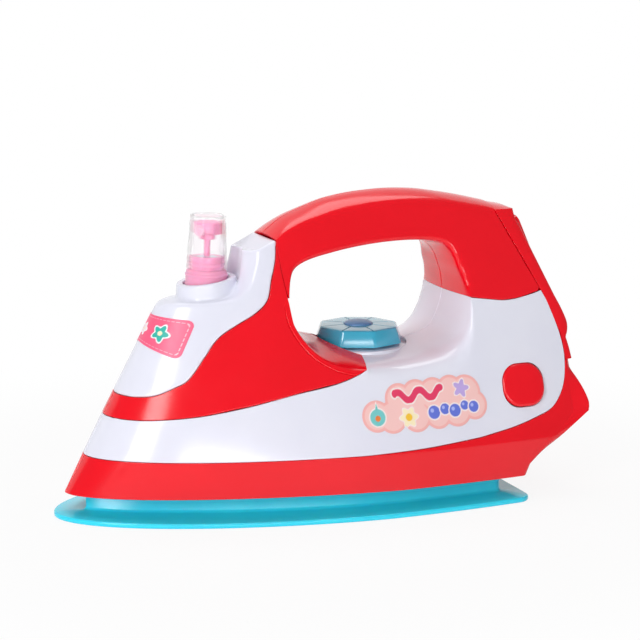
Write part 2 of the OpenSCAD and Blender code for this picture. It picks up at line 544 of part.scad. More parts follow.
// Head seat of a case screw, on the right of the middle
head_y = 4;
module head_bosses(list) {
    difference() {
        union() {
            children();
            for (p = list) translate([p[0], seam / 2, p[1]]) rotate([-90, 0, 0])
                cylinder(h = boss_depth(p) - seam / 2, r = screw_sink_r + 1.2, $fn = 32);
        }
        for (p = list) translate([p[0], 0, p[1]]) rotate([-90, 0, 0]) {
            translate([0, 0, -over]) cylinder(h = body_w, r = screw_clear_r, $fn = 32);
            translate([0, 0, head_y]) cylinder(h = body_w, r = screw_sink_r, $fn = 32);
        }
    }
}
module case_screws() color(steel)
    for (p = concat(handle_screws, side_screws, cheek_screws))
        translate([p[0], head_y, p[1]]) rotate([90, 0, 0]) screw(case_screw_l);

// Round hole in the saddle for the dial seat
module dial_hole() translate([dial_x, 0, band_z + body_h / 5]) cylinder(h = body_h / 4, r = seat_r + slack / 2, $fn = 96);
seat_r = 20.9;
seat_top = dial_z - 1.2;
seat_t = 3;

module button_outline(grow) {
    r = min(button_w, button_h) * 0.44;
    half = [button_w / 2 + grow, button_h / 2 + grow];
    k = [half[0] - r, half[1] - r];
    square([2 * half[0], 2 * k[1]], center = true);
    square([2 * k[0], 2 * half[1]], center = true);
    for (x = [-k[0], k[0]], y = [-k[1], k[1]]) translate([x, y]) circle(r, $fn = 48);
}
// Along +Y from a depth on the left side, on the button's own axis
module along_button(y) translate([button_x, y, button_z]) rotate([-90, 0, 0]) children();
// Everything outside the left side, stood off by the given amount at the button
module outside_left(out) translate([button_x, -half_at(button_x, button_z) - out, button_z])
    rotate([-atan(lean), 0, 0]) translate([-body_w / 2, -body_w, -body_w / 2]) cube(body_w);

module band_shell_left() color(red) band_half_shell();
module band_shell_right() color(red) mirror([0, 1, 0]) band_half_shell();
module side_shell_left() color(white) difference() {
    union() {
        side_panel();
        pilot_bosses(side_screws);
    }
    dial_hole();
    along_button(-body_w) linear_extrude(body_w * 0.8) button_outline(slack);
}
module side_shell_right() color(white) difference() {
    head_bosses(side_screws) mirror([0, 1, 0]) side_panel();
    dial_hole();
    mirror([0, 1, 0]) at_speaker() for (k = [0 : 2], a = [0 : 360 / max(1, 6 * k) : 359])
        rotate([0, 0, a]) translate([k * speaker_r * 0.28, 0, -3 * wall]) cylinder(h = 6 * wall, r = grille_r, $fn = 20);
}
speaker_r = 14;
grille_r = 1.1;
// On the side skin, with +Z pointing outwards
module at_speaker() translate([button_x, -half_at(button_x, button_z), button_z]) rotate([90 - atan(lean), 0, 0]) children();

module cheek_left() color(red) difference() {
    union() {
        cheek_panel();
        pilot_bosses(cheek_screws);
    }
    dial_hole();
}
module cheek_right() color(red) difference() {
    head_bosses(cheek_screws) mirror([0, 1, 0]) cheek_panel();
    dial_hole();
}
module handle_left() color(red) union() {
    handle_panel();
    pilot_bosses(handle_screws);
}
module handle_right() color(red) head_bosses(handle_screws) mirror([0, 1, 0]) handle_panel();

// On the sprayer's axis, with +Z up along it from the rim
module at_spray() translate([-spray_x, 0, spray_z]) rotate([0, spray_lean, 0]) children();
bore_r = collar_r + 0.5;
module nose_cover() color(white) difference() {
    union() {
        nose_cover_shell();
        difference() {
            tower_top();
            at_spray() cylinder(h = body_h / 2, r = hollow_r + wall / 2, $fn = 96);
        }
        at_spray() difference() {
            translate([0, 0, -8]) cylinder(h = 16, r = boss_r, $fn = 96);
            translate([0, 0, 3]) rotate([0, -10, 0]) translate([-body_w / 2, -body_w / 2, 0]) cube(body_w);
        }
    }
    at_spray() translate([0, 0, -body_h / 4]) cylinder(h = body_h / 2, r = bore_r, $fn = 96);
}

// Battery door frame: +X out of the back, +Z up along it
door_at = [0.432 * body_l, 0, 0.714 * body_h];
door_tilt = -24.2;
door_w = 24;
door_l = 51.6;
module at_door() translate(door_at) rotate([0, door_tilt, 0]) children();
// Slab with rounded corners across X, from x0 to x1
module door_slab(x0, x1, w, l, r, up = 0) translate([x0, 0, up]) rotate([90, 0, 90]) linear_extrude(x1 - x0) {
    square([w, l - 2 * r], center = true);
    square([w - 2 * r, l], center = true);
    for (y = [-1, 1], z = [-1, 1]) translate([y * (w / 2 - r), z * (l / 2 - r)]) circle(r, $fn = 32);
}
window_w = 21.2;
window_l = 45.6;
door_screw_z = -23.4;
// How far the window and the battery box sit above the middle of the door
window_up = 2.2;
door_screw_scale = 0.75;
module rear_cover() color(red) difference() {
    union() {
        rear_cover_shell();
        at_door() translate([-wall / 2, 0, door_screw_z]) rotate([0, -90, 0]) cylinder(h = 5, r = 1.8, $fn = 32);
    }
    at_door() {
        door_slab(-slack / 2, body_w, door_w + 2 * slack, door_l + 2 * slack, 3 + slack);
        door_slab(-4 * wall, body_w, window_w, window_l, 2, window_up);
        translate([0, 0, door_screw_z]) rotate([0, -90, 0]) translate([0, 0, -body_w / 2])
            cylinder(h = body_w, r = screw_r * door_screw_scale + screw_fit, $fn = 24);
    }
}
module battery_door() color(red) at_door() difference() {
    union() {
        door_slab(slack / 2, slack / 2 + door_t, door_w, door_l, 3);
        door_slab(-wall * 0.6, door_t, window_w - 2 * slack, window_l - 2 * slack, 2, window_up);
    }
    translate([-body_w / 2, 0, door_screw_z]) rotate([0, 90, 0]) cylinder(h = body_w, r = screw_r * door_screw_scale + screw_fit, $fn = 24);
}
module door_screw() color(steel) at_door() translate([slack / 2 + door_t, 0, door_screw_z]) rotate([0, -90, 0])
    scale(door_screw_scale) screw(case_screw_l / 2);

// Battery box behind the window: two cells side by side, contacts at their ends
box_wall = 0.8;
box_depth = cell_d + 1.6;
box_out = -wall - slack;
cell_x = box_out - cell_d / 2 - slack;
module battery_box() color("dimgray") at_door() difference() {
    translate([box_out - box_depth - box_wall, -window_w / 2 - box_wall, window_up - window_l / 2 - box_wall])
        cube([box_depth + box_wall, window_w + 2 * box_wall, window_l + 2 * box_wall]);
    translate([box_out - box_depth, -window_w / 2, window_up - window_l / 2]) cube([body_w, window_w, window_l]);
}
module battery_contacts() color(steel) at_door() for (y = [-1, 1], z = [-1, 1])
    translate([cell_x, y * window_w / 4, window_up + z * (window_l / 2 - 0.2)])
        cube([cell_d * 0.7, cell_d * 0.7, 0.3], center = true);
module battery_cells() color("goldenrod") at_door() for (y = [-1, 1])
    translate([cell_x, y * window_w / 4, window_up]) rotate([90 - 90 * y, 0, 0]) translate([0, 0, -cell_l / 2]) {
        cylinder(h = cell_l - 0.8, r = cell_d / 2 - 0.15, $fn = 48);
        cylinder(h = cell_l, r = cell_d / 5, $fn = 32);
    }

// Sprayer, all on its own axis
sleeve_wall = 1.4;
sleeve_top = -8.2;
bottle_top = -2;
bottle_foot = bottle_top - bottle_l;
neck_r = 6.4;
pump_r = 4.5;
chamber_r = 3.3;
stem_r = 1.25;
stage_r = 7.25;
collar_top = 7.3;
stage_top = 12.8;
head_z = 20;
module bottle_sleeve() color(white) at_spray() difference() {
    translate([0, 0, bottle_foot - slack - sleeve_wall]) cylinder(h = sleeve_top - bottle_foot + slack + sleeve_wall,
        r = bottle_r + slack + sleeve_wall, $fn = 64);
    translate([0, 0, bottle_foot - slack]) cylinder(h = body_h, r = bottle_r + slack, $fn = 64);
}
module water_bottle() color([0.85, 0.92, 0.97]) at_spray() rotate_extrude($fn = 64) polygon([
    [0, bottle_foot], [bottle_r - 1, bottle_foot], [bottle_r, bottle_foot + 1], [bottle_r, bottle_top - 4],
    [neck_r, bottle_top], [neck_r, collar_top - 2], [neck_r - 1.2, collar_top - 2], [neck_r - 1.2, bottle_top - 0.6],
    [bottle_r - 1, bottle_top - 4.6], [bottle_r - 1, bottle_foot + 1], [0, bottle_foot + 1]]);
module spray_collar() color(pink) at_spray() rotate_extrude($fn = 64) polygon([
    [neck_r, slack], [collar_r, slack], [collar_r, collar_top - 1.5], [collar_r - 0.8, collar_top],
    [stage_r, collar_top], [stage_r, stage_top], [pump_r, stage_top], [pump_r, collar_top - 1.8],
    [neck_r, collar_top - 1.8]]);
pump_floor = -9;
module pump_body() color("white") at_spray() rotate_extrude($fn = 64) polygon([
    [stem_r, pump_floor - 1.2], [pump_r, pump_floor - 1.2], [pump_r, stage_top], [stem_r + 0.1, stage_top],
    [stem_r + 0.1, stage_top - 1.2], [chamber_r, stage_top - 1.2], [chamber_r, pump_floor], [stem_r, pump_floor]]);
module dip_tube() color("white") at_spray() difference() {
    translate([0, 0, bottle_foot + 3]) cylinder(h = pump_floor - bottle_foot - 3, r = stem_r, $fn = 32);
    translate([0, 0, bottle_foot]) cylinder(h = body_h, r = stem_r * 0.6, $fn = 32);
}
piston_z = 9;
piston_t = 1.6;
module spray_head() color(pink) at_spray() difference() {
    union() {
        translate([0, 0, head_z]) cylinder(h = head_h - 1, r = head_r, $fn = 64);
        translate([0, 0, head_z + head_h - 1]) cylinder(h = 1, r1 = head_r, r2 = head_r - 0.8, $fn = 64);
        translate([0, 0, piston_z]) cylinder(h = head_z - piston_z + over, r = stem_r, $fn = 32);
        translate([0, 0, piston_z]) cylinder(h = piston_t, r = chamber_r - 0.05, $fn = 48);
    }
    at_nozzle() translate([0, 0, -nozzle_t]) cylinder(h = body_w, r = nozzle_r, $fn = 32);
}
nozzle_r = 2.4;
nozzle_t = 1.2;
// Nozzle axis: out of the side of the head
module at_nozzle() rotate([0, 0, 180 + nozzle_turn]) translate([head_r - 0.3, 0, head_z + head_h * 0.52])
    rotate([0, 90, 0]) children();
module nozzle_insert() color([0.99, 0.78, 0.85]) at_spray() at_nozzle() difference() {
    translate([0, 0, -nozzle_t]) cylinder(h = nozzle_t + 0.5, r = nozzle_r, $fn = 32);
    translate([0, 0, -nozzle_t + 0.5]) cylinder(h = body_w, r = nozzle_r * 0.2, $fn = 20);
}
cap_wall = 0.9;
module spray_cap() color([0.95, 0.9, 0.94]) at_spray() translate([0, 0, collar_top + slack]) rotate_extrude($fn = 64)
    polygon([[cap_r - cap_wall, 0], [cap_r, 0], [cap_top_r, cap_h - 0.8], [cap_top_r - 0.8, cap_h], [0, cap_h],
        [0, cap_h - cap_wall], [cap_top_r - cap_wall, cap_h - cap_wall]]);
// Helix of round wire along +Z
module coil(r, wire, h, turns) {
    steps = 14;
    sides = 6;
    n = steps * turns;
    ring = function (i) let (a = 360 * i / steps, c = [r * cos(a), r * sin(a), wire + (h - 2 * wire) * i / n])
        [for (k = [0 : sides - 1]) let (b = 360 * k / sides)
            c + wire * [cos(b) * cos(a), cos(b) * sin(a), sin(b)]];
    points = [for (i = [0 : n]) each ring(i)];
    faces = concat([[for (k = [0 : sides - 1]) k]], [[for (k = [sides - 1 : -1 : 0]) n * sides + k]],
        [for (i = [0 : n - 1], k = [0 : sides - 1]) let (a = i * sides + k, b = i * sides + (k + 1) % sides)
            each [[a, a + sides, b + sides], [a, b + sides, b]]]);
    polyhedron(points, faces, convexity = 10);
}
spring_wire = 0.35;
module pump_spring() color(steel) at_spray() translate([0, 0, pump_floor + slack / 3])
    coil((stem_r + chamber_r) / 2 + 0.3, spring_wire, piston_z - pump_floor - slack, 7);

// Dial in its round seat
hub_r = 8;
hub_z = 52;
module dial_seat() color(white) translate([dial_x, 0, 0]) difference() {
    union() {
        translate([0, 0, seat_top - seat_t]) cylinder(h = seat_t, r = seat_r, $fn = 96);
        translate([0, 0, hub_z]) cylinder(h = seat_top - hub_z, r = hub_r, $fn = 64);
    }
    translate([0, 0, hub_z - over]) cylinder(h = body_h, r = dial_shaft_r + shaft_fit, $fn = 64);
}
module dial() color(aqua) translate([dial_x, 0, 0]) difference() {
    union() {
        translate([0, 0, dial_z]) cylinder(h = dial_h, r1 = dial_r, r2 = dial_top_r, $fn = 8);
        translate([0, 0, hub_z - slack]) cylinder(h = dial_z - hub_z + over, r = dial_shaft_r, $fn = 64);
    }
    translate([0, 0, hub_z - over]) cylinder(h = over + 8, r = screw_r + screw_fit, $fn = 32);
}
module dial_cap() color([0.55, 0.68, 0.78]) translate([dial_x, 0, dial_z + dial_h]) rotate_extrude($fn = 64)
    polygon(concat([[0, 0]], [for (a = [0 : 15 : 90]) [dial_cap_r * cos(a), dial_cap_r * 0.28 * sin(a)]]));
module dial_screw() color(steel) translate([dial_x, 0, hub_z - slack]) {
    translate([0, 0, -1]) difference() {
        cylinder(h = 1, r = hub_r - 1, $fn = 48);
        translate([0, 0, -over]) cylinder(h = 3 * over, r = screw_r * 0.9, $fn = 32);
    }
    translate([0, 0, -1]) screw(8.5);
}

// Sound button and what is behind it
button_in = -28.5;
guide_in = -22;
board_t = 1.4;
board_w = 21.4;
board_l = 24;
flange = 1.4;
module sound_button() color(red) {
    difference() {
        along_button(-body_w / 2) linear_extrude(body_w / 2 + button_in + 1) button_outline(0);
        outside_left(1);
    }
    along_button(button_in - 0.6) linear_extrude(1.6) button_outline(flange);
}
module button_guide() color("whitesmoke") difference() {
    along_button(button_in - 0.9) linear_extrude(guide_in - button_in + 0.9) button_outline(flange + slack + 1.2);
    along_button(button_in - 4) linear_extrude(body_w) button_outline(flange + slack);
}
module sound_board() color("darkgreen") translate([button_x - board_w / 2, guide_in, button_z - board_l / 2])
    cube([board_w, board_t, board_l]);
module sound_switch() color("black") along_button(guide_in) {
    translate([-3, -3, -1.8]) cube([6, 6, 1.8]);
    translate([0, 0, -2.6]) cylinder(h = 1, r = 1.6, $fn = 24);
}
module speaker() color("dimgray") mirror([0, 1, 0]) at_speaker() translate([0, 0, -wall - 5 * slack - 5.5]) {
    translate([0, 0, 4]) cylinder(h = 1.5, r = speaker_r, $fn = 48);
    cylinder(h = 4.5, r1 = speaker_r * 0.45, r2 = speaker_r * 0.9, $fn = 48);
}

soleplate();
sole_screws();
base_tray();
band_shell_left();
band_shell_right();
side_shell_left();
side_shell_right();
cheek_left();
cheek_right();
nose_cover();
handle_left();
handle_right();
rear_cover();
case_screws();
bottle_sleeve();
water_bottle();
spray_collar();
dip_tube();
pump_body();
pump_spring();
spray_head();
nozzle_insert();
spray_cap();
dial_seat();
dial();
dial_cap();
dial_screw();
button_guide();
sound_button();
sound_board();
sound_switch();
speaker();
battery_box();
battery_contacts();
battery_cells();
battery_door();
door_screw();
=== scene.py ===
import math

import bmesh
import bpy
import numpy as np
from mathutils import Matrix, Vector


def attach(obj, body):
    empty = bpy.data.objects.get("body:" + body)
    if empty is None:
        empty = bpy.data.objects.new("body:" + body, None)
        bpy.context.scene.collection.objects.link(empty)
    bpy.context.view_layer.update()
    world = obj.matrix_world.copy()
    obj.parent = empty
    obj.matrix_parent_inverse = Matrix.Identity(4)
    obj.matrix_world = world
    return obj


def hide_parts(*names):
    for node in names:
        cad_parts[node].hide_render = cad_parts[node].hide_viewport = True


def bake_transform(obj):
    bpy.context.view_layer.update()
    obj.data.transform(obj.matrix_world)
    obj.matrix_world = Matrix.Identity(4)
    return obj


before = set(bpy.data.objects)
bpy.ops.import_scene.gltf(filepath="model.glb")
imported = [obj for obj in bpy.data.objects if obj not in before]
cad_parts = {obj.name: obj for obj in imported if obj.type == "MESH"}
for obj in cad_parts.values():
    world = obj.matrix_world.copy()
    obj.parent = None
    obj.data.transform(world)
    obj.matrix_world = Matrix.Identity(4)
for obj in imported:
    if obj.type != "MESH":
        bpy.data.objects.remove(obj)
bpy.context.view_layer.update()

# The object's lengths are millimetres and its meshes are written in metres, as the stage and lamps are
MM = 0.001

# Body: length, height, width at the belly, wall and the gap between shells
BODY_L, BODY_H, BODY_W = 231.4, 132.0, 96.0
WALL = 2.2
SEAM = 0.24

# Heights of the belly, the red band, the upper red band, the nose cover and the shoulder
BELLY_Z, BAND_Z, CHEEK_Z, COVER_Z, SHOULDER_Z = 10.3, 26.0, 42.6, 51.5, 88.8
HEEL_Z = BAND_Z + 0.235 * BODY_H
LEAN = 0.342

# Nose line, and the place where the sides reach their full width
NOSE_X, NOSE_SLOPE = -111.1, 0.53
FULL_X = 0.108 * BODY_L
NOSE_P, NOSE_Q = (1.44, 2.2), (1.8, 2.0)
HEEL_TAPER, BAND_TAPER = 0.06, 0.031

# Radius of a shell's rim, the flat strip kept beside it, and the steps of the rounding
RIM_R = 0.4
RIM_HOLD = 0.3
RIM_STEPS = 3

# Steps in a span of an outline, and rows across a panel
SPAN_STEPS = 6
SIDE_ROWS = 14
DECK_ROWS = 12


def mix(a, b, t):
    return a + (b - a) * t


def clamp01(t):
    return min(max(t, 0.0), 1.0)


def even(n):
    """Shares from 0 to 1 in n steps."""
    return [k / n for k in range(n + 1)]


def on_arc(r, degrees):
    """A point of the circle of radius r."""
    return (r * math.cos(math.radians(degrees)), r * math.sin(math.radians(degrees)))


def round_off(r, degrees):
    """How far an edge rounded by r lies inside each of its two faces."""
    return r * (1 - math.cos(math.radians(degrees))), r * (1 - math.sin(math.radians(degrees)))


def turn(degrees, axis):
    return Matrix.Rotation(math.radians(degrees), 4, axis)


def shift(x=0, y=0, z=0):
    return Matrix.Translation((x, y, z))


# The outer skin

def nose_at(z):
    return NOSE_X + NOSE_SLOPE * (z - BELLY_Z)


def wide_at(z):
    if z < BAND_Z:
        return BODY_W / 2 * (1 - BAND_TAPER * (z - BELLY_Z) / (BAND_Z - BELLY_Z))
    return BODY_W / 2 * (1 - BAND_TAPER) - LEAN * (z - BAND_Z)


def half_at(x, z):
    """Half width of the outer skin at a place of the side view."""
    up = clamp01((z - BELLY_Z) / (CHEEK_Z - BELLY_Z))
    t = clamp01((x - nose_at(z)) / (FULL_X - nose_at(z)))
    nose = (1 - (1 - t) ** mix(*NOSE_P, up)) ** (1 / mix(*NOSE_Q, up))
    heel = 1 - HEEL_TAPER * (max(0.0, x - FULL_X) / (BODY_L / 4)) ** 2
    return wide_at(z) * heel * nose


def smooth(points, corners=(), steps=SPAN_STEPS):
    """Smooth curve through points, with corners at the listed numbers."""
    p = np.array(points, float)
    last = len(p) - 1
    slope = np.zeros_like(p)
    for i in range(1, last):
        if i not in corners:
            slope[i] = (p[i + 1] - p[i - 1]) / 2
    t = (np.arange(steps) / steps)[:, None]
    out = []
    for i in range(last):
        out.append(p[i] * (2 * t**3 - 3 * t**2 + 1) + p[i + 1] * (3 * t**2 - 2 * t**3)
                   + slope[i] * (t**3 - 2 * t**2 + t) + slope[i + 1] * (t**3 - t**2))
    return np.vstack([*out, p[last:]])


def behind_nose(z, shares):
    """Places from shares of the length behind the nose line and shares of the height above z."""
    return [(nose_at(z + s[1] * BODY_H) + s[0] * BODY_L, z + s[1] * BODY_H) for s in shares]


def from_edge(first, points, count):
    """A point for each of count outline numbers: the listed ones start at number first."""
    return [points[min(max(i - first, 0), len(points) - 1)] for i in range(count)]


# Outlines in the side view, as shares of the length and of the height
BAND_TOP = [(0, 0), (0.014, 0), (0.047, 0), (0.098, 0), (0.185, 0), (0.271, 0), (0.358, 0),
            (0.427, 0), (0.47, 0), (0.496, 0.001), (0.547, 0.004), (0.597, 0.008), (0.639, 0.014),
            (0.672, 0.019), (0.696, 0.023), (0.72, 0.03), (0.764, 0.044), (0.805, 0.065),
            (0.836, 0.091), (0.845, 0.152), (0.83, 0.235), (0.798, 0.322), (0.746, 0.428)]
SIDE_TOP = [(0, 0), (0.011, 0), (0.032, 0), (0.068, 0.003), (0.142, 0.017), (0.22, 0.043),
            (0.293, 0.073), (0.36, 0.095), (0.397, 0.117), (0.413, 0.135), (0.477, 0.131),
            (0.536, 0.142), (0.583, 0.159), (0.597, 0.204), (0.591, 0.268), (0.578, 0.331),
            (0.611, 0.323), (0.648, 0.315), (0.674, 0.316), (0.697, 0.323), (0.713, 0.329),
            (0.721, 0.333), (0.726, 0.336)]
CHEEK_LOW = [(0, 0), (0.011, 0), (0.032, 0), (0.068, 0.003), (0.109, 0.01), (0.142, 0.017),
             (0.173, 0.027), (0.2, 0.037), (0.22, 0.043), (0.24, 0.051), (0.255, 0.057),
             (0.267, 0.061), (0.278, 0.066), (0.29, 0.071), (0.299, 0.075), (0.309, 0.079),
             (0.325, 0.084), (0.344, 0.091), (0.364, 0.097), (0.384, 0.108), (0.4, 0.119),
             (0.409, 0.129)]
CHEEK_TOP = [(0, 0), (0.008, 0), (0.025, 0), (0.053, 0.008), (0.079, 0.034), (0.095, 0.058),
             (0.106, 0.125), (0.115, 0.18), (0.138, 0.219), (0.163, 0.252), (0.176, 0.292),
             (0.169, 0.352), (0.161, 0.417), (0.148, 0.473), (0.184, 0.367), (0.216, 0.284),
             (0.24, 0.22), (0.274, 0.163), (0.312, 0.117), (0.349, 0.087), (0.382, 0.071),
             (0.413, 0.067)]
TOWER_FOOT = [(0, -0.029), (0.002, -0.02), (0.004, -0.011), (0.014, -0.003), (0.03, 0),
              (0.047, 0.002), (0.07, 0.003), (0.095, 0.008), (0.118, 0.018), (0.13, 0.035),
              (0.134, 0.058), (0.132, 0.096), (0.128, 0.139), (0.123, 0.162)]
HANDLE_LOW = [(0.215, 0.012), (0.21, 0.038), (0.205, 0.068), (0.204, 0.095), (0.212, 0.113),
              (0.231, 0.129), (0.26, 0.142), (0.297, 0.155), (0.341, 0.165), (0.391, 0.17),
              (0.44, 0.168), (0.475, 0.16), (0.497, 0.144), (0.516, 0.115), (0.535, 0.073),
              (0.554, 0.036), (0.578, -0.019), (0.611, -0.027), (0.648, -0.035),
              (0.682, -0.032), (0.709, -0.021), (0.719, -0.017)]
HANDLE_TOP = [(0.205, 0.032), (0.189, 0.073), (0.171, 0.123), (0.148, 0.191), (0.163, 0.218),
              (0.188, 0.243), (0.221, 0.262), (0.259, 0.278), (0.307, 0.291), (0.363, 0.297),
              (0.419, 0.292), (0.475, 0.281), (0.515, 0.268), (0.547, 0.257), (0.567, 0.252),
              (0.59, 0.214), (0.617, 0.168), (0.647, 0.119), (0.673, 0.075), (0.698, 0.034),
              (0.715, 0.005), (0.721, -0.005)]
CHEEK_DECK = [(0.227, 0.284), (0.253, 0.216), (0.283, 0.174), (0.315, 0.148), (0.344, 0.137),
              (0.378, 0.125), (0.424, 0.104)]
SIDE_DECK = [(0.424, 0.171), (0.467, 0.17), (0.518, 0.173), (0.553, 0.185), (0.578, 0.211),
             (0.579, 0.268), (0.569, 0.331)]
HANDLE_UNDER = [(0.227, 0.002), (0.22, 0.038), (0.215, 0.068), (0.216, 0.089), (0.223, 0.105),
                (0.238, 0.119), (0.263, 0.133), (0.299, 0.147), (0.344, 0.157), (0.394, 0.162),
                (0.438, 0.161), (0.471, 0.15), (0.492, 0.133), (0.513, 0.105), (0.53, 0.073),
                (0.548, 0.036), (0.569, -0.019)]
HANDLE_CROWN = [(0.14, 0.203), (0.151, 0.229), (0.165, 0.253), (0.191, 0.277), (0.223, 0.301),
                (0.258, 0.315), (0.296, 0.323), (0.344, 0.327), (0.397, 0.323), (0.448, 0.311),
                (0.501, 0.295), (0.561, 0.273)]
NOSE_DECK = [(0, -0.016), (0.002, -0.012), (0.005, -0.008), (0.014, 0), (0.03, 0.004),
             (0.046, 0.006), (0.069, 0.008), (0.092, 0.011), (0.108, 0.02), (0.113, 0.039),
             (0.112, 0.07), (0.106, 0.1), (0.098, 0.13), (0.091, 0.157)]
BAND_FOOT = [(0.705, 0), (0.737, 0), (0.778, 0), (0.806, 0), (0.819, 0), (0.8235, 0),
             (0.8245, 0)]
BAND_KNEE = [(0.701, 0.042), (0.733, 0.042), (0.774, 0.042), (0.801, 0.041), (0.815, 0.039),
             (0.822, 0.037), (0.8245, 0.036)]
BAND_RAMP = [(0.697, 0.091), (0.733, 0.095), (0.78, 0.108), (0.82, 0.134), (0.847, 0.157),
             (0.873, 0.176), (0.887, 0.187)]
COVER_FRONT = [(0.83, 0), (0.8205, 0.03), (0.811, 0.057), (0.806, 0.07), (0.7996, 0.086),
               (0.79, 0.105), (0.779, 0.127), (0.759, 0.167), (0.74, 0.203), (0.726, 0.227),
               (0.669, 0.323), (0.615, 0.413), (0.588, 0.458), (0.567, 0.492)]
COVER_BACK = [(0.848, 0), (0.8362, 0.03), (0.8245, 0.057), (0.8192, 0.07), (0.8188, 0.086),
              (0.8153, 0.105), (0.807, 0.127), (0.786, 0.167), (0.765, 0.203), (0.7515, 0.227),
              (0.698, 0.323), (0.648, 0.413), (0.622, 0.458), (0.608, 0.492)]

# Numbers of the outline points at corners, and where a stretch that turns onto the deck starts or ends
SIDE_TURNS = [9, 15]
CHEEK_CORNER, CHEEK_TURN = 13, 15
HAND_END = 16
CROWN_TURNS = [3, 14]

band_top = smooth(behind_nose(BAND_Z, BAND_TOP))
side_top = smooth(behind_nose(CHEEK_Z, SIDE_TOP), SIDE_TURNS)
side_deck = smooth(from_edge(SIDE_TURNS[0], behind_nose(CHEEK_Z, SIDE_DECK), len(SIDE_TOP)), SIDE_TURNS)
cheek_low = smooth(behind_nose(CHEEK_Z, CHEEK_LOW))
cheek_top = smooth(behind_nose(COVER_Z, CHEEK_TOP), [CHEEK_CORNER])
cheek_deck = smooth(from_edge(CHEEK_TURN, behind_nose(COVER_Z, CHEEK_DECK), len(CHEEK_TOP)))
cover_top = smooth(behind_nose(SHOULDER_Z, TOWER_FOOT))
cover_deck = smooth(behind_nose(SHOULDER_Z, NOSE_DECK))
handle_low = smooth(behind_nose(SHOULDER_Z, HANDLE_LOW), [HAND_END])
handle_top = smooth(behind_nose(SHOULDER_Z, HANDLE_TOP), CROWN_TURNS)
handle_under = smooth(behind_nose(SHOULDER_Z, HANDLE_UNDER))
handle_crown = smooth(from_edge(CROWN_TURNS[0], behind_nose(SHOULDER_Z, HANDLE_CROWN), len(HANDLE_TOP)),
                      CROWN_TURNS)


def skin(s, gap=SEAM / 2):
    """The left skin at a place of the side view, no nearer to the middle than the gap."""
    return (s[0], -max(half_at(s[0], s[1]), gap), s[1])


def side_column(a, b, shares, gap=SEAM / 2):
    """Skin points from place a up to place b, which stops half a seam from both."""
    end = SEAM / 2 / max(np.linalg.norm(b - a), SEAM)
    return [skin(mix(a, b, mix(end, 1 - end, k)), gap) for k in shares]


def deck_points(a, c, n, gap=SEAM / 2):
    """Rounded stretch from the edge place a towards the centre place c, without the edge itself."""
    h = half_at(*a)
    out = []
    for w in even(n)[1:]:
        s = a + (c - a) * (1 - (1 - w) ** 2)
        out.append((s[0], -max(h * (1 - w), gap), s[1]))
    return out


# Shells from grids of skin points

def soften_rows(grid, rows, first, last, passes):
    """Rounds the crease between side and deck in these rows, fading out towards the ends of the deck."""
    g = np.array(grid, float)
    part = g[:, rows]
    for i in range(first, last + 1):
        weight = clamp01(min(i - first, last - i) / SPAN_STEPS)
        for _ in range(passes):
            mid = (part[i, :-2] + part[i, 2:]) / 2
            part[i, 1:-1] += (mid - part[i, 1:-1]) * weight * 0.5
    return g


def unit_rows(v):
    return v / np.maximum(np.linalg.norm(v, axis=-1, keepdims=True), 1e-9)


def sheet_mesh(grid, spans):
    """Vertices and faces of a closed sheet with rounded outer rims, from a grid of outer points."""
    g = np.array(grid, float)
    index = {}
    points, faces = [], []

    def vertex(i, j):
        key = (i, j)
        if key not in index:
            index[key] = len(points)
            points.append(g[i, j])
        return index[key]

    for i, (j0, j1) in enumerate(spans):
        for j in range(j0, j1):
            faces.append([vertex(i, j), vertex(i + 1, j), vertex(i + 1, j + 1), vertex(i, j + 1)])
    return close_sheet(np.array(points), faces)


def quad_edges(face):
    """The directed edges of a four-sided face."""
    return [(face[k], face[(k + 1) % 4]) for k in range(4)]


# Passes that even out the inner side, and the share of the space behind a rim that its rounding may take
EASE_PASSES = 12
RIM_ROOM = 0.6


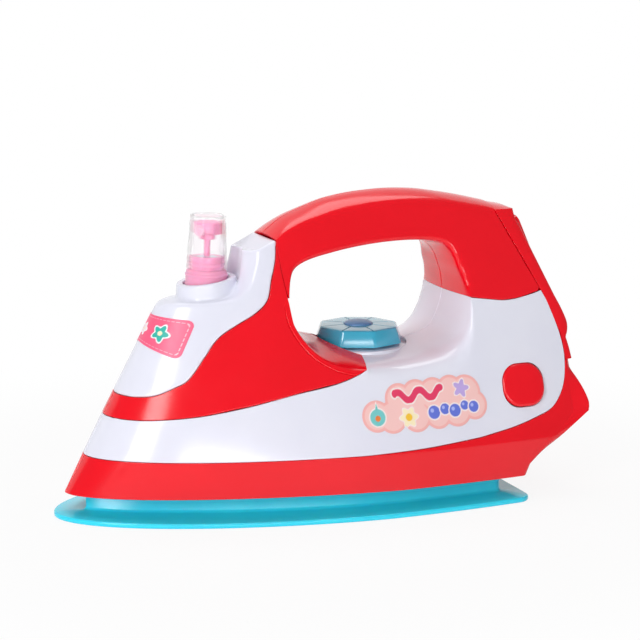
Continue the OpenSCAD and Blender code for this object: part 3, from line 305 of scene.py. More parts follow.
def close_sheet(points, faces):
    """Gives a sheet its inner side, and a rounded rim along its open edges."""
    count = len(points)
    quads = np.array(faces)
    normal = np.zeros_like(points)
    diagonal = np.cross(points[quads[:, 2]] - points[quads[:, 0]], points[quads[:, 3]] - points[quads[:, 1]])
    for k in range(4):
        np.add.at(normal, quads[:, k], diagonal)
    normal = unit_rows(normal)

    edges = [edge for face in faces for edge in quad_edges(face)]
    both_ways = set(edges)
    links = [set() for _ in range(count)]
    for a, b in edges:
        links[a].add(b)
        links[b].add(a)
    following = {a: b for a, b in edges if (b, a) not in both_ways and a != b}
    before = {b: a for a, b in following.items()}

    eased = normal.copy()
    neighbours = [list(s) for s in links]
    for _ in range(EASE_PASSES):
        eased = unit_rows(np.array([eased[k] + eased[n].mean(0) for k, n in enumerate(neighbours)]))

    # Each rim vertex moves inwards, and a ring of points rounds the rim there
    out = list(points)
    rings = {}
    for v, nxt in following.items():
        prev = before[v]
        inward = []
        for a, b in ((prev, v), (v, nxt)):
            d = np.cross(normal[v], points[b] - points[a])
            inward.append(d / max(np.linalg.norm(d), 1e-9))
        d = (inward[0] + inward[1]) / max(1 + inward[0] @ inward[1], 0.5)
        inner = [n for n in links[v] if n not in (nxt, prev)]
        room = min((abs((points[n] - points[v]) @ d) for n in inner), default=0.2)
        scale = min(1.0, RIM_ROOM * room / (RIM_R + RIM_HOLD))
        out[v] = points[v] + d * (RIM_R + RIM_HOLD) * scale
        rings[v] = [v]
        for k in range(RIM_STEPS + 1):
            down, in_by = round_off(RIM_R * scale, 90 * k / RIM_STEPS)
            rings[v].append(len(out))
            out.append(points[v] + d * in_by - normal[v] * down)
    first_inner = len(out)
    out.extend(points - eased * WALL)
    all_faces = [list(f) for f in faces]
    all_faces += [[k + first_inner for k in reversed(f)] for f in faces]
    for v, nxt in following.items():
        a, b = rings[v] + [v + first_inner], rings[nxt] + [nxt + first_inner]
        for k in range(len(a) - 1):
            all_faces.append([b[k], a[k], a[k + 1], b[k + 1]])
    return np.array(out), all_faces


def mirrored(points, faces):
    """The other side's points and faces."""
    return points * [1, -1, 1], [list(reversed(f)) for f in faces]


def add_object(name, data):
    obj = bpy.data.objects.new(name, data)
    bpy.context.scene.collection.objects.link(obj)
    return obj


def mesh_object(name, points, faces, sharp=50):
    """A mesh object from millimetre points, smooth apart from edges sharper than the given angle."""
    mesh = bpy.data.meshes.new(name)
    mesh.from_pydata([tuple(p * MM) for p in np.asarray(points, float)], [], faces)
    obj = add_object(name, mesh)
    tidy_mesh(obj, sharp)
    return obj


def tidy_mesh(obj, sharp, merge=0.004):
    """Merges doubled points and marks edges sharper than the given angle."""
    bm = bmesh.new()
    bm.from_mesh(obj.data)
    bmesh.ops.remove_doubles(bm, verts=bm.verts, dist=merge * MM)
    bmesh.ops.dissolve_degenerate(bm, dist=merge * MM / 4, edges=bm.edges)
    bm.normal_update()
    for f in bm.faces:
        f.smooth = True
    for e in bm.edges:
        e.smooth = len(e.link_faces) == 2 and e.calc_face_angle(0) < math.radians(sharp)
    bm.to_mesh(obj.data)
    bm.free()


def apply_modifiers(obj):
    """Replaces the object's mesh by the one its modifiers make."""
    made = bpy.data.meshes.new_from_object(obj.evaluated_get(bpy.context.evaluated_depsgraph_get()))
    obj.modifiers.clear()
    old = obj.data
    obj.data = made
    bpy.data.meshes.remove(old)


def cut(obj, *cutters, sharp=50):
    """Cuts the cutters out of obj and removes them."""
    for cutter in cutters:
        m = obj.modifiers.new("cut", "BOOLEAN")
        m.operation = "DIFFERENCE"
        m.solver = "EXACT"
        m.object = cutter
    apply_modifiers(obj)
    for cutter in cutters:
        bpy.data.objects.remove(cutter)
    tidy_mesh(obj, sharp, merge=0.001)


def outward(obj):
    """Turns the faces of a closed mesh outwards."""
    bm = bmesh.new()
    bm.from_mesh(obj.data)
    bmesh.ops.recalc_face_normals(bm, faces=bm.faces)
    bm.to_mesh(obj.data)
    bm.free()
    return obj


def merge(obj, *pieces):
    """Adds the meshes of the pieces to obj and removes the pieces."""
    bm = bmesh.new()
    for piece in (obj, *pieces):
        bm.from_mesh(piece.data)
    bm.to_mesh(obj.data)
    bm.free()
    for piece in pieces:
        bpy.data.objects.remove(piece)


def joined(name, *pieces):
    """A new object made of the pieces, which it replaces."""
    obj = add_object(name, bpy.data.meshes.new(name))
    merge(obj, *pieces)
    return obj


def ring_faces(rings, around, loop=False, flip=False):
    """Faces between rings of points: the last ring meets the first in a loop, or both ends are closed."""
    faces = []
    for i in range(rings if loop else rings - 1):
        a, b = i * around, (i + 1) % rings * around
        for k in range(around):
            n = (k + 1) % around
            faces.append([a + k, a + n, b + n, b + k])
    if not loop:
        faces.append(list(range(around - 1, -1, -1)))
        faces.append(list(range((rings - 1) * around, rings * around)))
    return [f[:1] + f[:0:-1] for f in faces] if flip else faces


def stack(name, layers, x0, z0, sharp):
    """A closed solid through outlines of equally many points, each at its height."""
    points = [(x0 + x, y, z0 + z) for outline, z in layers for x, y in outline]
    return mesh_object(name, points, ring_faces(len(layers), len(layers[0][0])), sharp)


def prism(outline, z0, z1, place):
    """A closed prism over an outline in X and Y, moved to its place; most of them cut openings."""
    points = [place @ Vector((x, y, z)) for z in (z0, z1) for x, y in outline]
    return mesh_object("cutter", points, ring_faces(2, len(outline)))


def circle(r, n):
    return [(r * math.cos(2 * math.pi * k / n), r * math.sin(2 * math.pi * k / n)) for k in range(n)]


def rounded_oblong(w, length, r, n=6):
    """Outline of a rounded oblong: its length along the first axis, its width along the second."""
    k, m = length / 2 - r, w / 2 - r
    out = []
    for x, y, start in [(k, m, 0), (-k, m, 90), (-k, -m, 180), (k, -m, 270)]:
        for s in range(n + 1):
            u, v = on_arc(r, start + 90 * s / n)
            out.append((x + u, y + v))
    return out


def corner_curve(start, corner, end, steps):
    """Points of a rounded corner, from its start to its end."""
    return [(1 - t) ** 2 * start + 2 * t * (1 - t) * corner + t * t * end for t in even(steps)]


def finish_piece(obj, material, body, slot, *nodes):
    obj.data.materials.clear()
    obj.data.materials.append(material)
    if nodes:
        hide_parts(*nodes)
    if body:
        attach(obj, body)
    return obj


# Materials

def srgb(r, g, b):
    """Linear colour from the 0 to 255 values it shows as."""
    def linear(v):
        v = v / 255
        return v / 12.92 if v <= 0.04045 else ((v + 0.055) / 1.055) ** 2.4
    return (linear(r), linear(g), linear(b), 1.0)


def new_material(name):
    m = bpy.data.materials.new(name)
    m.use_nodes = True
    return m, m.node_tree.nodes, m.node_tree.links, m.node_tree.nodes["Principled BSDF"]


def set_inputs(node, values):
    for name, value in values.items():
        node.inputs[name].default_value = value


def new_node(nodes, kind, values=None):
    """A shader node with the values of its inputs."""
    node = nodes.new("ShaderNode" + kind)
    set_inputs(node, values or {})
    return node


def noise_ramp(nodes, links, scale, low, high, detail=3.0):
    """Noise in object coordinates, mapped to a range of values."""
    place = new_node(nodes, "TexCoord")
    noise = new_node(nodes, "TexNoise", {"Scale": scale, "Detail": detail})
    spread = new_node(nodes, "MapRange", {"From Min": 0.3, "From Max": 0.7, "To Min": low, "To Max": high})
    links.new(place.outputs["Object"], noise.inputs["Vector"])
    links.new(noise.outputs["Fac"], spread.inputs["Value"])
    return spread.outputs["Result"]


def two_tones(nodes, links, factor, a, b):
    blend = new_node(nodes, "Mix")
    blend.data_type = "RGBA"
    set_inputs(blend, {"A": a, "B": b})
    links.new(factor, blend.inputs["Factor"])
    return blend.outputs["Result"]


def rough_skin(nodes, links, shader, rough, rough_scale, grain, grain_scale):
    """Uneven roughness and a faint bump."""
    links.new(noise_ramp(nodes, links, rough_scale, *rough), shader.inputs["Roughness"])
    bump = new_node(nodes, "Bump", {"Strength": 1.0, "Distance": MM})
    links.new(noise_ramp(nodes, links, grain_scale, 0.0, grain, 4.0), bump.inputs["Height"])
    links.new(bump.outputs["Normal"], shader.inputs["Normal"])


def moulded(name, colour, shade, rough, grain, scales):
    """A material of two near tints; scales are those of the tints, the roughness and the bump."""
    m, nodes, links, shader = new_material(name)
    tint = noise_ramp(nodes, links, scales[0], 0.0, 1.0)
    links.new(two_tones(nodes, links, tint, srgb(*colour), srgb(*shade)), shader.inputs["Base Color"])
    rough_skin(nodes, links, shader, rough, scales[1], grain, scales[2])
    return m, nodes, links, shader


def blend_to(nodes, links, share, a, b, output):
    """The surface a, replaced by b as far as the share says."""
    blend = new_node(nodes, "MixShader")
    links.new(share, blend.inputs[0])
    links.new(a.outputs[0], blend.inputs[1])
    links.new(b.outputs[0], blend.inputs[2])
    links.new(blend.outputs[0], nodes[output].inputs["Surface"])


def plastic(name, colour, shade, rough, grain=0.0012, gloss=0.0, depth=0.0):
    """Moulded plastic: gloss is the weight of its clear coat, depth how far light goes into it."""
    m, _, _, shader = moulded(name, colour, shade, rough, grain, (30.0, 90.0, 900.0))
    set_inputs(shader, {"Coat Weight": gloss, "Coat IOR": 1.7, "Coat Roughness": 0.18})
    if depth:
        set_inputs(shader, {"Subsurface Weight": depth, "Subsurface Scale": 2 * MM})
    return m


def metal(name, colour, shade, rough):
    m, _, _, shader = moulded(name, colour, shade, rough, 0.01, (400.0, 600.0, 2500.0))
    set_inputs(shader, {"Metallic": 1.0})
    return m


def clear_plastic(name, colour, shade):
    """Thin clear moulding: glass that lets part of the light straight through."""
    m, nodes, links, shader = moulded(name, colour, shade, (0.03, 0.09), 0.003, (60.0, 120.0, 200.0))
    set_inputs(shader, {"Transmission Weight": 1.0, "IOR": 1.25})
    straight = new_node(nodes, "BsdfTransparent")
    share = noise_ramp(nodes, links, 80.0, 0.5, 0.6)
    blend_to(nodes, links, share, shader, straight, "Material Output")
    return m


def printed(name):
    """Printed vinyl that takes its colours from the sheet it is on."""
    m, nodes, links, shader = new_material(name)
    ink_layer = new_node(nodes, "VertexColor")
    ink_layer.layer_name = "ink"
    links.new(ink_layer.outputs["Color"], shader.inputs["Base Color"])
    rough_skin(nodes, links, shader, (0.28, 0.4), 700.0, 0.006, 1500.0)
    return m


red = plastic("red_plastic", (245, 2, 28), (239, 0, 24), rough=(0.15, 0.21))
white = plastic("white_plastic", (236, 237, 249), (231, 232, 246), rough=(0.12, 0.18), gloss=0.1)
blue = plastic("blue_plastic", (52, 228, 255), (44, 220, 250), rough=(0.16, 0.26), depth=0.2)
teal = plastic("dial_plastic", (58, 180, 212), (50, 172, 206), rough=(0.18, 0.24), gloss=0.65)
cap_grey = plastic("dial_cap_plastic", (104, 158, 206), (94, 148, 200), rough=(0.25, 0.35))
pink = plastic("pink_plastic", (250, 172, 204), (248, 164, 198), rough=(0.18, 0.26), depth=0.2)
pale_pink = plastic("pale_pink_plastic", (252, 205, 222), (250, 196, 216), rough=(0.2, 0.3))
black = plastic("black_plastic", (38, 38, 42), (30, 30, 34), rough=(0.4, 0.55), grain=0.01)
green = plastic("board_green", (28, 92, 52), (22, 80, 44), rough=(0.3, 0.45), grain=0.006)
jacket = plastic("cell_jacket", (206, 160, 60), (196, 150, 50), rough=(0.2, 0.3))
clear = clear_plastic("clear_plastic", (254, 250, 253), (253, 246, 251))
steel = metal("screw_steel", (196, 198, 202), (176, 178, 184), (0.25, 0.4))
ink = printed("printed_vinyl")


# Body shells

def sheet_pair(name, grid, spans):
    """Left and right shells from the grid of the left one."""
    left = sheet_mesh(grid, spans)
    return [mesh_object(f"{name}_{side}_skin", *shell)
            for side, shell in (("left", left), ("right", mirrored(*left)))]


def side_panels():
    last = len(side_top) - 1
    first, end = (n * SPAN_STEPS for n in SIDE_TURNS)
    grid = [side_column(band_top[i], side_top[i], even(SIDE_ROWS))
            + deck_points(side_top[i], side_deck[i], DECK_ROWS) for i in range(last + 1)]
    spans = [(0, SIDE_ROWS + (DECK_ROWS if first <= i < end else 0)) for i in range(last)]
    grid = soften_rows(grid, slice(None), first, end, passes=6)
    return sheet_pair("side_shell", grid, spans)


# Lip of the hand opening: distances of the cheek's last rows from the rim, the outline point where they
# begin and the spans over which they blend in, then the groove's distance from the rim and its radius
LIP_ROWS = [2.9, 2.5, 2.1, 1.7, 1.3, 0.9, 0.4, 0.0]
LIP_START, LIP_FADE = 16, 1.5
LIP_W, LIP_GROOVE_R = 2.1, 0.6


def cheek_panels():
    last = len(cheek_top) - 1
    first = CHEEK_TURN * SPAN_STEPS
    rows = SIDE_ROWS + len(LIP_ROWS) - 1
    grid = []
    for i in range(last + 1):
        run = max(np.linalg.norm(cheek_top[i] - cheek_low[i]), 1e-6)
        lip = [1 - min(d / run, 0.5) for d in LIP_ROWS]
        near_rim = [lip[0] * k / SIDE_ROWS for k in range(SIDE_ROWS)] + lip
        blend = clamp01((i / SPAN_STEPS - LIP_START) / LIP_FADE)
        shares = [mix(k / rows, share, blend) for k, share in enumerate(near_rim)]
        grid.append(side_column(cheek_low[i], cheek_top[i], shares)
                    + deck_points(cheek_top[i], cheek_deck[i], DECK_ROWS))
    spans = [(0, rows + (DECK_ROWS if i >= first else 0)) for i in range(last)]
    grid = soften_rows(grid, slice(None), first, last, passes=3)
    return sheet_pair("cheek", grid, spans)


def lip_groove(side):
    """Cutter for the groove on the left cheek, or on the right one where side is -1."""
    rim = np.array(cheek_top[CHEEK_TURN * SPAN_STEPS:])
    ahead = unit_rows(np.gradient(rim, axis=0))
    line = rim + LIP_W * np.stack([ahead[:, 1], -ahead[:, 0]], axis=1)
    n, around = len(line), 10
    points = []
    for i in range(n):
        r = LIP_GROOVE_R * mix(0.2, 1, clamp01(min(i, n - 1 - i) / SPAN_STEPS))
        x, y, z = skin(line[i])
        for across, out in circle(r, around):
            points.append((x + across * ahead[i][1], side * (y - out), z - across * ahead[i][0]))
    return outward(mesh_object("cutter", points, ring_faces(n, around)))


def handle_panels():
    last = len(handle_top) - 1
    open_end = HAND_END * SPAN_STEPS
    crown_0, crown_1 = (n * SPAN_STEPS for n in CROWN_TURNS)
    grid = []
    for i in range(last + 1):
        u = min(i, open_end)
        grid.append(deck_points(handle_low[i], handle_under[u], DECK_ROWS)[::-1]
                    + side_column(handle_low[i], handle_top[i], even(SIDE_ROWS))
                    + deck_points(handle_top[i], handle_crown[i], DECK_ROWS))
    spans = [(0 if i < open_end else DECK_ROWS,
              DECK_ROWS + SIDE_ROWS + (DECK_ROWS if crown_0 <= i < crown_1 else 0)) for i in range(last)]
    middle = DECK_ROWS + SIDE_ROWS // 2
    grid = soften_rows(grid, slice(0, middle), 0, open_end, passes=2)
    grid = soften_rows(grid, slice(middle, None), crown_0, crown_1, passes=2)
    return sheet_pair("handle", grid, spans)


# Heel of the red band: rear wall shares, bulge, and the two feet that stand out of it
REAR_SHARES = [(0.985, 0.28), (0.955, 0.5), (0.92, 0.68), (0.82, 0.8), (0.72, 0.87), (0.66, 0.9),
               (0.58, 0.93), (0.4, 0.97), (0.2, 0.99), (0, 1)]
HEEL_BULGE, FOOT_OUT, FOOT_SIDE, FOOT_Z = 4.0, 5.183, 3.5, 37.7
FOOT_DOWN, FOOT_UP = 0.144 * BODY_H, 0.114 * BODY_H
FOOT_EDGE, FOOT_FROM, FOOT_FADE = 0.06, 0.58, 0.1
FOOT_LOW_CURVE, FOOT_HIGH_CURVE = 1.1, 1.6
BAND_EDGES = 20
BAND_ROWS = 36
BAND_KNEE_SHARE, BAND_RAMP_SHARE = 0.0394, 0.0788


def foot_share(s, z):
    """How far a foot stands out at a share of the half width and a height."""
    across = clamp01((1 - s) / FOOT_EDGE) * clamp01((s - FOOT_FROM) / FOOT_FADE)
    if z < FOOT_Z:
        return across * (1 - min(1.0, (FOOT_Z - z) / FOOT_DOWN) ** FOOT_LOW_CURVE)
    return across * (1 - min(1.0, (z - FOOT_Z) / FOOT_UP) ** FOOT_HIGH_CURVE)


def band_panels():
    def band_line(share, rear):
        level_points = BAND_EDGES + 1 - len(rear)
        return smooth(behind_nose(BELLY_Z, [(s[0], share) for s in BAND_TOP[:level_points]] + rear))
    lines = [band_line(0, BAND_FOOT), band_line(BAND_KNEE_SHARE, BAND_KNEE),
             band_line(BAND_RAMP_SHARE, BAND_RAMP), band_top]
    top_line = len(lines) - 1
    levels = [top_line * k / BAND_ROWS for k in range(BAND_ROWS + 1)]
    last = BAND_EDGES * SPAN_STEPS

    def place(i, level):
        k = min(int(level), top_line - 1)
        return mix(lines[k][i], lines[k + 1][i], level - k) - np.array([0, level / top_line * SEAM / 2])

    grid = [[skin(place(i, level)) for level in levels] for i in range(last + 1)]
    shares = smooth([(1, 0), *REAR_SHARES], steps=4)[1:]
    for s, bulge in shares:
        column = []
        for level in levels:
            p = place(last, level)
            foot = foot_share(s, p[1])
            column.append((p[0] + HEEL_BULGE * bulge + FOOT_OUT * foot,
                           -max(half_at(*p) * s + FOOT_SIDE * foot, SEAM / 2), p[1]))
        grid.append(column)
    spans = [(0, len(levels) - 1)] * (len(grid) - 1)
    return sheet_pair("band_shell", grid, spans)


# Rear cover: hoops round the back, then the lid, whose crown starts with a share of its height
HOOP = [(0, 1), (0.45, 1), (0.8, 0.985), (0.95, 0.95), (1, 0.88), (1, 0.6), (1, 0.3), (1, 0)]
LID = [1, 0.97, 0.9, 0.82, 0.74, 0.5, 0.25, 0]
LID_CROWN, LID_START = 2.4, 0.25
HOOP_STEPS = 5
LID_ROWS = 8


def rear_cover():
    front = smooth(behind_nose(HEEL_Z, COVER_FRONT))
    back = smooth(behind_nose(HEEL_Z, COVER_BACK))
    hoop = smooth(HOOP, steps=HOOP_STEPS)
    lid = smooth([(v, 0) for v in LID], steps=HOOP_STEPS)[:, 0]
    levels = len(front)
    rows = []
    for i in range(levels):
        h = half_at(*front[i])
        rows.append([(mix(front[i][0] + SEAM, back[i][0], r[0]), h * r[1],
                      front[i][1] + SEAM / 2 * (1 - i / levels)) for r in hoop])
    top = rows[-1]
    for k in even(LID_ROWS)[1:]:
        row = []
        for i, t in enumerate(top):
            y = mix(t[1], top[0][1] * lid[i], k)
            w = y / top[0][1]
            row.append((mix(t[0], top[0][0], k), y, t[2] + LID_CROWN * mix(LID_START, 1, k) * (1 - w * w)))
        rows.append(row)
    rows = [[(x, -y, z) for x, y, z in r] + list(reversed(r[:-1])) for r in rows]
    grid = [[row[i] for row in rows] for i in range(len(rows[0]))]
    last = len(grid) - 2
    spans = [(0, levels - 1 + (LID_ROWS if 0 < i < last else 0)) for i in range(last + 1)]
    return mesh_object("rear_cover_skin", *sheet_mesh(grid, spans))


# Battery door's place on the back, the recess it lies in and the window behind it
DOOR_TILT = -24.2
DOOR_W, DOOR_L, DOOR_CORNER, SLACK = 24.0, 51.6, 3.0, 0.3
WINDOW_W, WINDOW_L, WINDOW_CORNER, WINDOW_UP = 21.2, 45.6, 2.0, 2.2
DOOR_SCREW_Z, DOOR_SCREW_R = -23.4, 1.05
FAR = 20.0


def door_window(cover):
    # The cutters' length lies along the door, and their height along its normal
    door = (shift(0.432 * BODY_L, 0, 0.714 * BODY_H) @ turn(DOOR_TILT, "Y") @ turn(90, "Y")
            @ turn(180, "Z"))
    recess = rounded_oblong(DOOR_W + 2 * SLACK, DOOR_L + 2 * SLACK, DOOR_CORNER + SLACK)
    window = rounded_oblong(WINDOW_W, WINDOW_L, WINDOW_CORNER)
    for cutter in (prism(recess, -SLACK / 2, FAR, door),
                   prism(window, -4 * WALL, FAR, door @ shift(WINDOW_UP)),
                   prism(circle(DOOR_SCREW_R, 24), -FAR, FAR, door @ shift(DOOR_SCREW_Z))):
        cut(cover, cutter)
    return cover


# Sprayer axis, as in the frame: leaning back from its rim
SPRAY_X, SPRAY_Z, SPRAY_LEAN = -48.4, 94.0, 2.4
spray_place = shift(SPRAY_X, 0, SPRAY_Z) @ turn(SPRAY_LEAN, "Y")
COLLAR_R = 9.05


def lathe(name, profile, place=spray_place, sides=96, sharp=50):
    """A turned solid: the profile of radius and height goes round the axis of its place."""
    points = [place @ Vector((x, y, z)) for r, z in profile for x, y in circle(r, sides)]
    return outward(mesh_object(name, points, ring_faces(len(profile), sides, loop=True), sharp))


def rounded(profile, r, steps=3):
    """A closed profile of radius and height with its corners off the axis rounded by r."""
    most = 0.45
    out = []
    for k, (x, z) in enumerate(profile):
        p = np.array((x, z), float)
        a = np.array(profile[k - 1], float) - p
        b = np.array(profile[(k + 1) % len(profile)], float) - p
        la, lb = np.linalg.norm(a), np.linalg.norm(b)
        if x < 1e-6 or min(la, lb) < 1e-6:
            out.append((x, z))
            continue
        cut_back = min(r, most * la, most * lb)
        curve = corner_curve(p + a / la * cut_back, p, p + b / lb * cut_back, steps)
        out += [(max(q[0], 0.0), q[1]) for q in curve]
    return out


# Boss round the sprayer: its height each way and the slope of its top, with the hollow below it
BOSS_R, BOSS_H, BOSS_TOP, BOSS_SLOPE = 12.6, 8.0, 3.0, -10
BORE_R = COLLAR_R + 0.5
HOLLOW_R = 15.0

# The shoulder keeps clear of the hollow from an outline point and a share of its width on, and how soon
SHOULDER_ROWS = 14
HOLLOW_POINT, HOLLOW_SPANS = 8, 2
HOLLOW_FROM, HOLLOW_FADE = 0.42, 0.28
NOSE_PASSES = 3
VOXEL, QUICK_VOXEL = 0.5, 0.8


def nose_grid():
    """Left half of the nose cover: its side, then the shoulder, which keeps clear of the hollow."""
    grid = []
    for i in range(CHEEK_CORNER * SPAN_STEPS + 1):
        column = side_column(cheek_top[i], cover_top[i], even(SIDE_ROWS), 0.0)
        depth = clamp01((i / SPAN_STEPS - HOLLOW_POINT) / HOLLOW_SPANS)
        shoulder = deck_points(cover_top[i], cover_deck[i], SHOULDER_ROWS, 0.0)
        for w, (x, y, z) in zip(even(SHOULDER_ROWS)[1:], shoulder):
            f = depth * clamp01((w - HOLLOW_FROM) / HOLLOW_FADE)
            if f > 0 and abs(y) < HOLLOW_R:
                wall = SPRAY_X + (z - SPRAY_Z) * math.tan(math.radians(SPRAY_LEAN))
                x = mix(x, max(x, wall + math.sqrt(HOLLOW_R**2 - y * y)), f)
            column.append((x, y, z))
        grid.append(column)
    grid = np.array(grid, float)
    grid[0, :, 1] = 0
    weight = 0.5 * np.linspace(0, 1, len(grid))[:, None, None]
    for _ in range(NOSE_PASSES):
        grid[:, 1:-1] += ((grid[:, :-2] + grid[:, 2:]) / 2 - grid[:, 1:-1]) * weight
    return grid


def nose_cover():
    grid = nose_grid()
    last, rows = grid.shape[0] - 1, grid.shape[1] - 1
    index = np.arange(grid.shape[0] * grid.shape[1]).reshape(grid.shape[:2]).tolist()
    quads = [[index[i][j], index[i + 1][j], index[i + 1][j + 1], index[i][j + 1]]
             for i in range(last) for j in range(rows)]
    points = grid.reshape(-1, 3)
    m_points, m_quads = mirrored(points, quads)
    both = quads + [[v + len(points) for v in q] for q in m_quads]
    shell = mesh_object("nose_cover_skin", np.vstack([points, m_points]), both)
    solid = shell.modifiers.new("wall", "SOLIDIFY")
    solid.thickness = WALL * MM
    solid.offset = -1
    apply_modifiers(shell)

    # Top of the tower and the boss round the sprayer
    a = handle_top[CROWN_TURNS[0] * SPAN_STEPS] - np.array([SEAM, 0])
    b = cover_top[last]
    run = float(np.linalg.norm(a - b))
    slope = math.degrees(math.atan2(a[1] - b[1], a[0] - b[0]))
    inset, tip_run, tip_w = 0.3, run * 1.6, HOLLOW_R * 0.6
    wide = [half_at(*a) - inset, half_at(*b) - inset]
    outline = [(0, -wide[0]), (0, wide[0]), (-run, wide[1]), (-tip_run, tip_w), (-tip_run, -tip_w),
               (-run, -wide[1])]
    plate = prism(outline, -WALL, 0.0, shift(a[0], 0, a[1]) @ turn(-slope, "Y"))
    cut(plate, prism(circle(HOLLOW_R, 96), 0.0, BODY_H / 2, spray_place))
    boss = prism(circle(BOSS_R, 96), -BOSS_H, BOSS_H, spray_place)
    cut(boss, prism(rounded_oblong(BODY_W, BODY_W, 1, 10), 0.0, BODY_W / 2,
                    spray_place @ shift(z=BOSS_TOP) @ turn(BOSS_SLOPE, "Y")))
    merge(shell, plate, boss)

    remesh = shell.modifiers.new("skin", "REMESH")
    remesh.mode = "VOXEL"
    remesh.voxel_size = VOXEL * MM
    apply_modifiers(shell)
    cut(shell, prism(circle(BORE_R, 96), -BODY_H / 4, BODY_H / 4, spray_place))
    even_out = shell.modifiers.new("even", "SMOOTH")
    even_out.factor = 0.5
    even_out.iterations = 10
    apply_modifiers(shell)
    tidy_mesh(shell, sharp=180, merge=0.001)
    return shell


# Sole

RIM_T, RIM_W, RISER_W, RIM_CORNER = 2.2, 107.4, 77.0, 7.0
RIM_ROUND, RISER_FILLET = 0.7, 1.2
RISER_LIP, RISER_LIP_H = 0.4, 0.5
SOLE_SCREWS = [(-70, 0), (-10, -22), (-10, 22), (55, -22), (55, 22)]
SCREW_SINK_R, SCREW_SINK_UP = 3.0, 2.8
REAR_STEPS = 6


def plan_half(x, nose, full, half, p, q, lose):
    """Half width of a plan outline: it is full behind the nose, then loses a share of it to the rear."""
    share = clamp01((x - nose) / (full - nose))
    return (half * (1 - (1 - share) ** p) ** (1 / q)
            * (1 - lose * (max(0.0, x - full) / (BODY_L / 5)) ** 2))


def plan(nose, full, rear, half, p, q, lose, corner, n=70):
    """Plan outline with a pointed nose and rounded rear corners, from the nose round the left side."""
    x1 = rear - corner
    y1 = plan_half(x1, nose, full, half, p, q, lose) - corner
    side = [(nose + (x1 - nose) * (k / n) ** 2, 0.0) for k in range(1, n + 1)]
    side = [(x, plan_half(x, nose, full, half, p, q, lose)) for x, _ in side]
    side += [(x1 + corner * math.sin(math.radians(a)), y1 + corner * math.cos(math.radians(a)))
             for a in range(10, 91, 10)]
    side += [(rear, y1 * (1 - k / REAR_STEPS)) for k in range(1, REAR_STEPS)]
    return np.array([(nose, 0.0)] + [(x, -y) for x, y in side] + [(rear, 0.0)] + side[::-1])


def grown(outline, amount):
    """Outline moved outwards by the amount."""
    tangent = np.roll(outline, -1, 0) - np.roll(outline, 1, 0)
    normal = unit_rows(np.stack([tangent[:, 1], -tangent[:, 0]], 1))
    return outline + normal * amount


def sole():
    rim = plan(nose=-BODY_L / 2, full=0.078 * BODY_L, rear=0.3548 * BODY_L, half=RIM_W / 2, p=1.6, q=1.9,
               lose=0.037, corner=RIM_CORNER)
    riser = plan(nose=-0.442 * BODY_L, full=0.111 * BODY_L, rear=0.318 * BODY_L, half=RISER_W / 2, p=1.8,
                 q=1.2, lose=0.044, corner=RIM_CORNER / 2)
    layers = []
    for a in (90, 60, 30, 0):
        inset, up = round_off(RIM_ROUND, a)
        layers.append((grown(rim, -inset), up))
    for a in (0, 30, 60, 90):
        inset, down = round_off(RIM_ROUND, a)
        layers.append((grown(rim, -inset), RIM_T - down))
    for a in (90, 60, 30, 0):
        up = round_off(RISER_FILLET, a)[1]
        layers.append((grown(riser, RISER_FILLET * math.sin(math.radians(a)) ** 2), RIM_T + up))
    layers.append((grown(riser, 0.0), BELLY_Z - RISER_LIP_H))
    layers.append((grown(riser, -RISER_LIP), BELLY_Z))
    obj = stack("soleplate_skin", layers, 0, 0, 40)
    sinks = [prism(circle(SCREW_SINK_R, 40), -1, SCREW_SINK_UP, shift(x, y)) for x, y in SOLE_SCREWS]
    cut(obj, *sinks, sharp=40)
    return obj


# Dial and its cap

DIAL_X, DIAL_Z, DIAL_H = 20.9, 65.8, 7.4
DIAL_R, DIAL_TOP_R, DIAL_CAP_R = 20.2, 17.7, 6.2
DIAL_ROUND, DIAL_ROUND_H, DIAL_TAPER, DIAL_CORNER = 1.1, 0.9, 0.85, 1.6
LINE_W, LINE_DEPTH = 0.6, 0.7
CAP_SINK, CAP_EDGE, CAP_DOME = 0.4, 0.25, 0.26
SIDES = 8


def octagon(r, corner, steps=4):
    """Octagon with rounded corners, its first corner on +X."""
    tips = np.array(circle(r, SIDES))
    out = []
    for k, p in enumerate(tips):
        beside = (tips[k - 1], tips[(k + 1) % SIDES])
        start, end = (p + (q - p) / np.linalg.norm(q - p) * corner for q in beside)
        out += corner_curve(start, p, end, steps)
    return np.array(out)


def dial():
    shoulder_r = mix(DIAL_R, DIAL_TOP_R, DIAL_TAPER)
    rings = [(DIAL_R - 0.8, 0.0), (DIAL_R - 0.15, 0.15), (DIAL_R, 0.6), (shoulder_r, DIAL_H - DIAL_ROUND)]
    for a in (30, 60, 90):
        rings.append((shoulder_r - round_off(DIAL_ROUND, a)[0],
                      DIAL_H - DIAL_ROUND + on_arc(DIAL_ROUND_H, a)[1]))
    rings += [(DIAL_TOP_R * 0.8, DIAL_H - 0.1), (DIAL_CAP_R + 1.6, DIAL_H), (DIAL_CAP_R + 0.7, DIAL_H),
              (DIAL_CAP_R + 0.3, DIAL_H - 0.8)]
    layers = [(octagon(r, min(DIAL_CORNER, r * 0.1)), z) for r, z in rings]
    obj = stack("dial_knob", layers, DIAL_X, DIAL_Z, 60)
    # A fine line runs from the cap to each corner
    r0, r1, w = DIAL_CAP_R + 0.5, DIAL_TOP_R * 0.985, LINE_W / 2
    line = [(r0, -w), (r1, -w * 0.8), (r1, w * 0.8), (r0, w)]
    top = shift(DIAL_X, 0, DIAL_Z + DIAL_H)
    lines = [prism(line, -LINE_DEPTH, 1.0, top @ turn(360 * k / SIDES, "Z")) for k in range(SIDES)]
    cut(obj, *lines, sharp=40)
    return obj


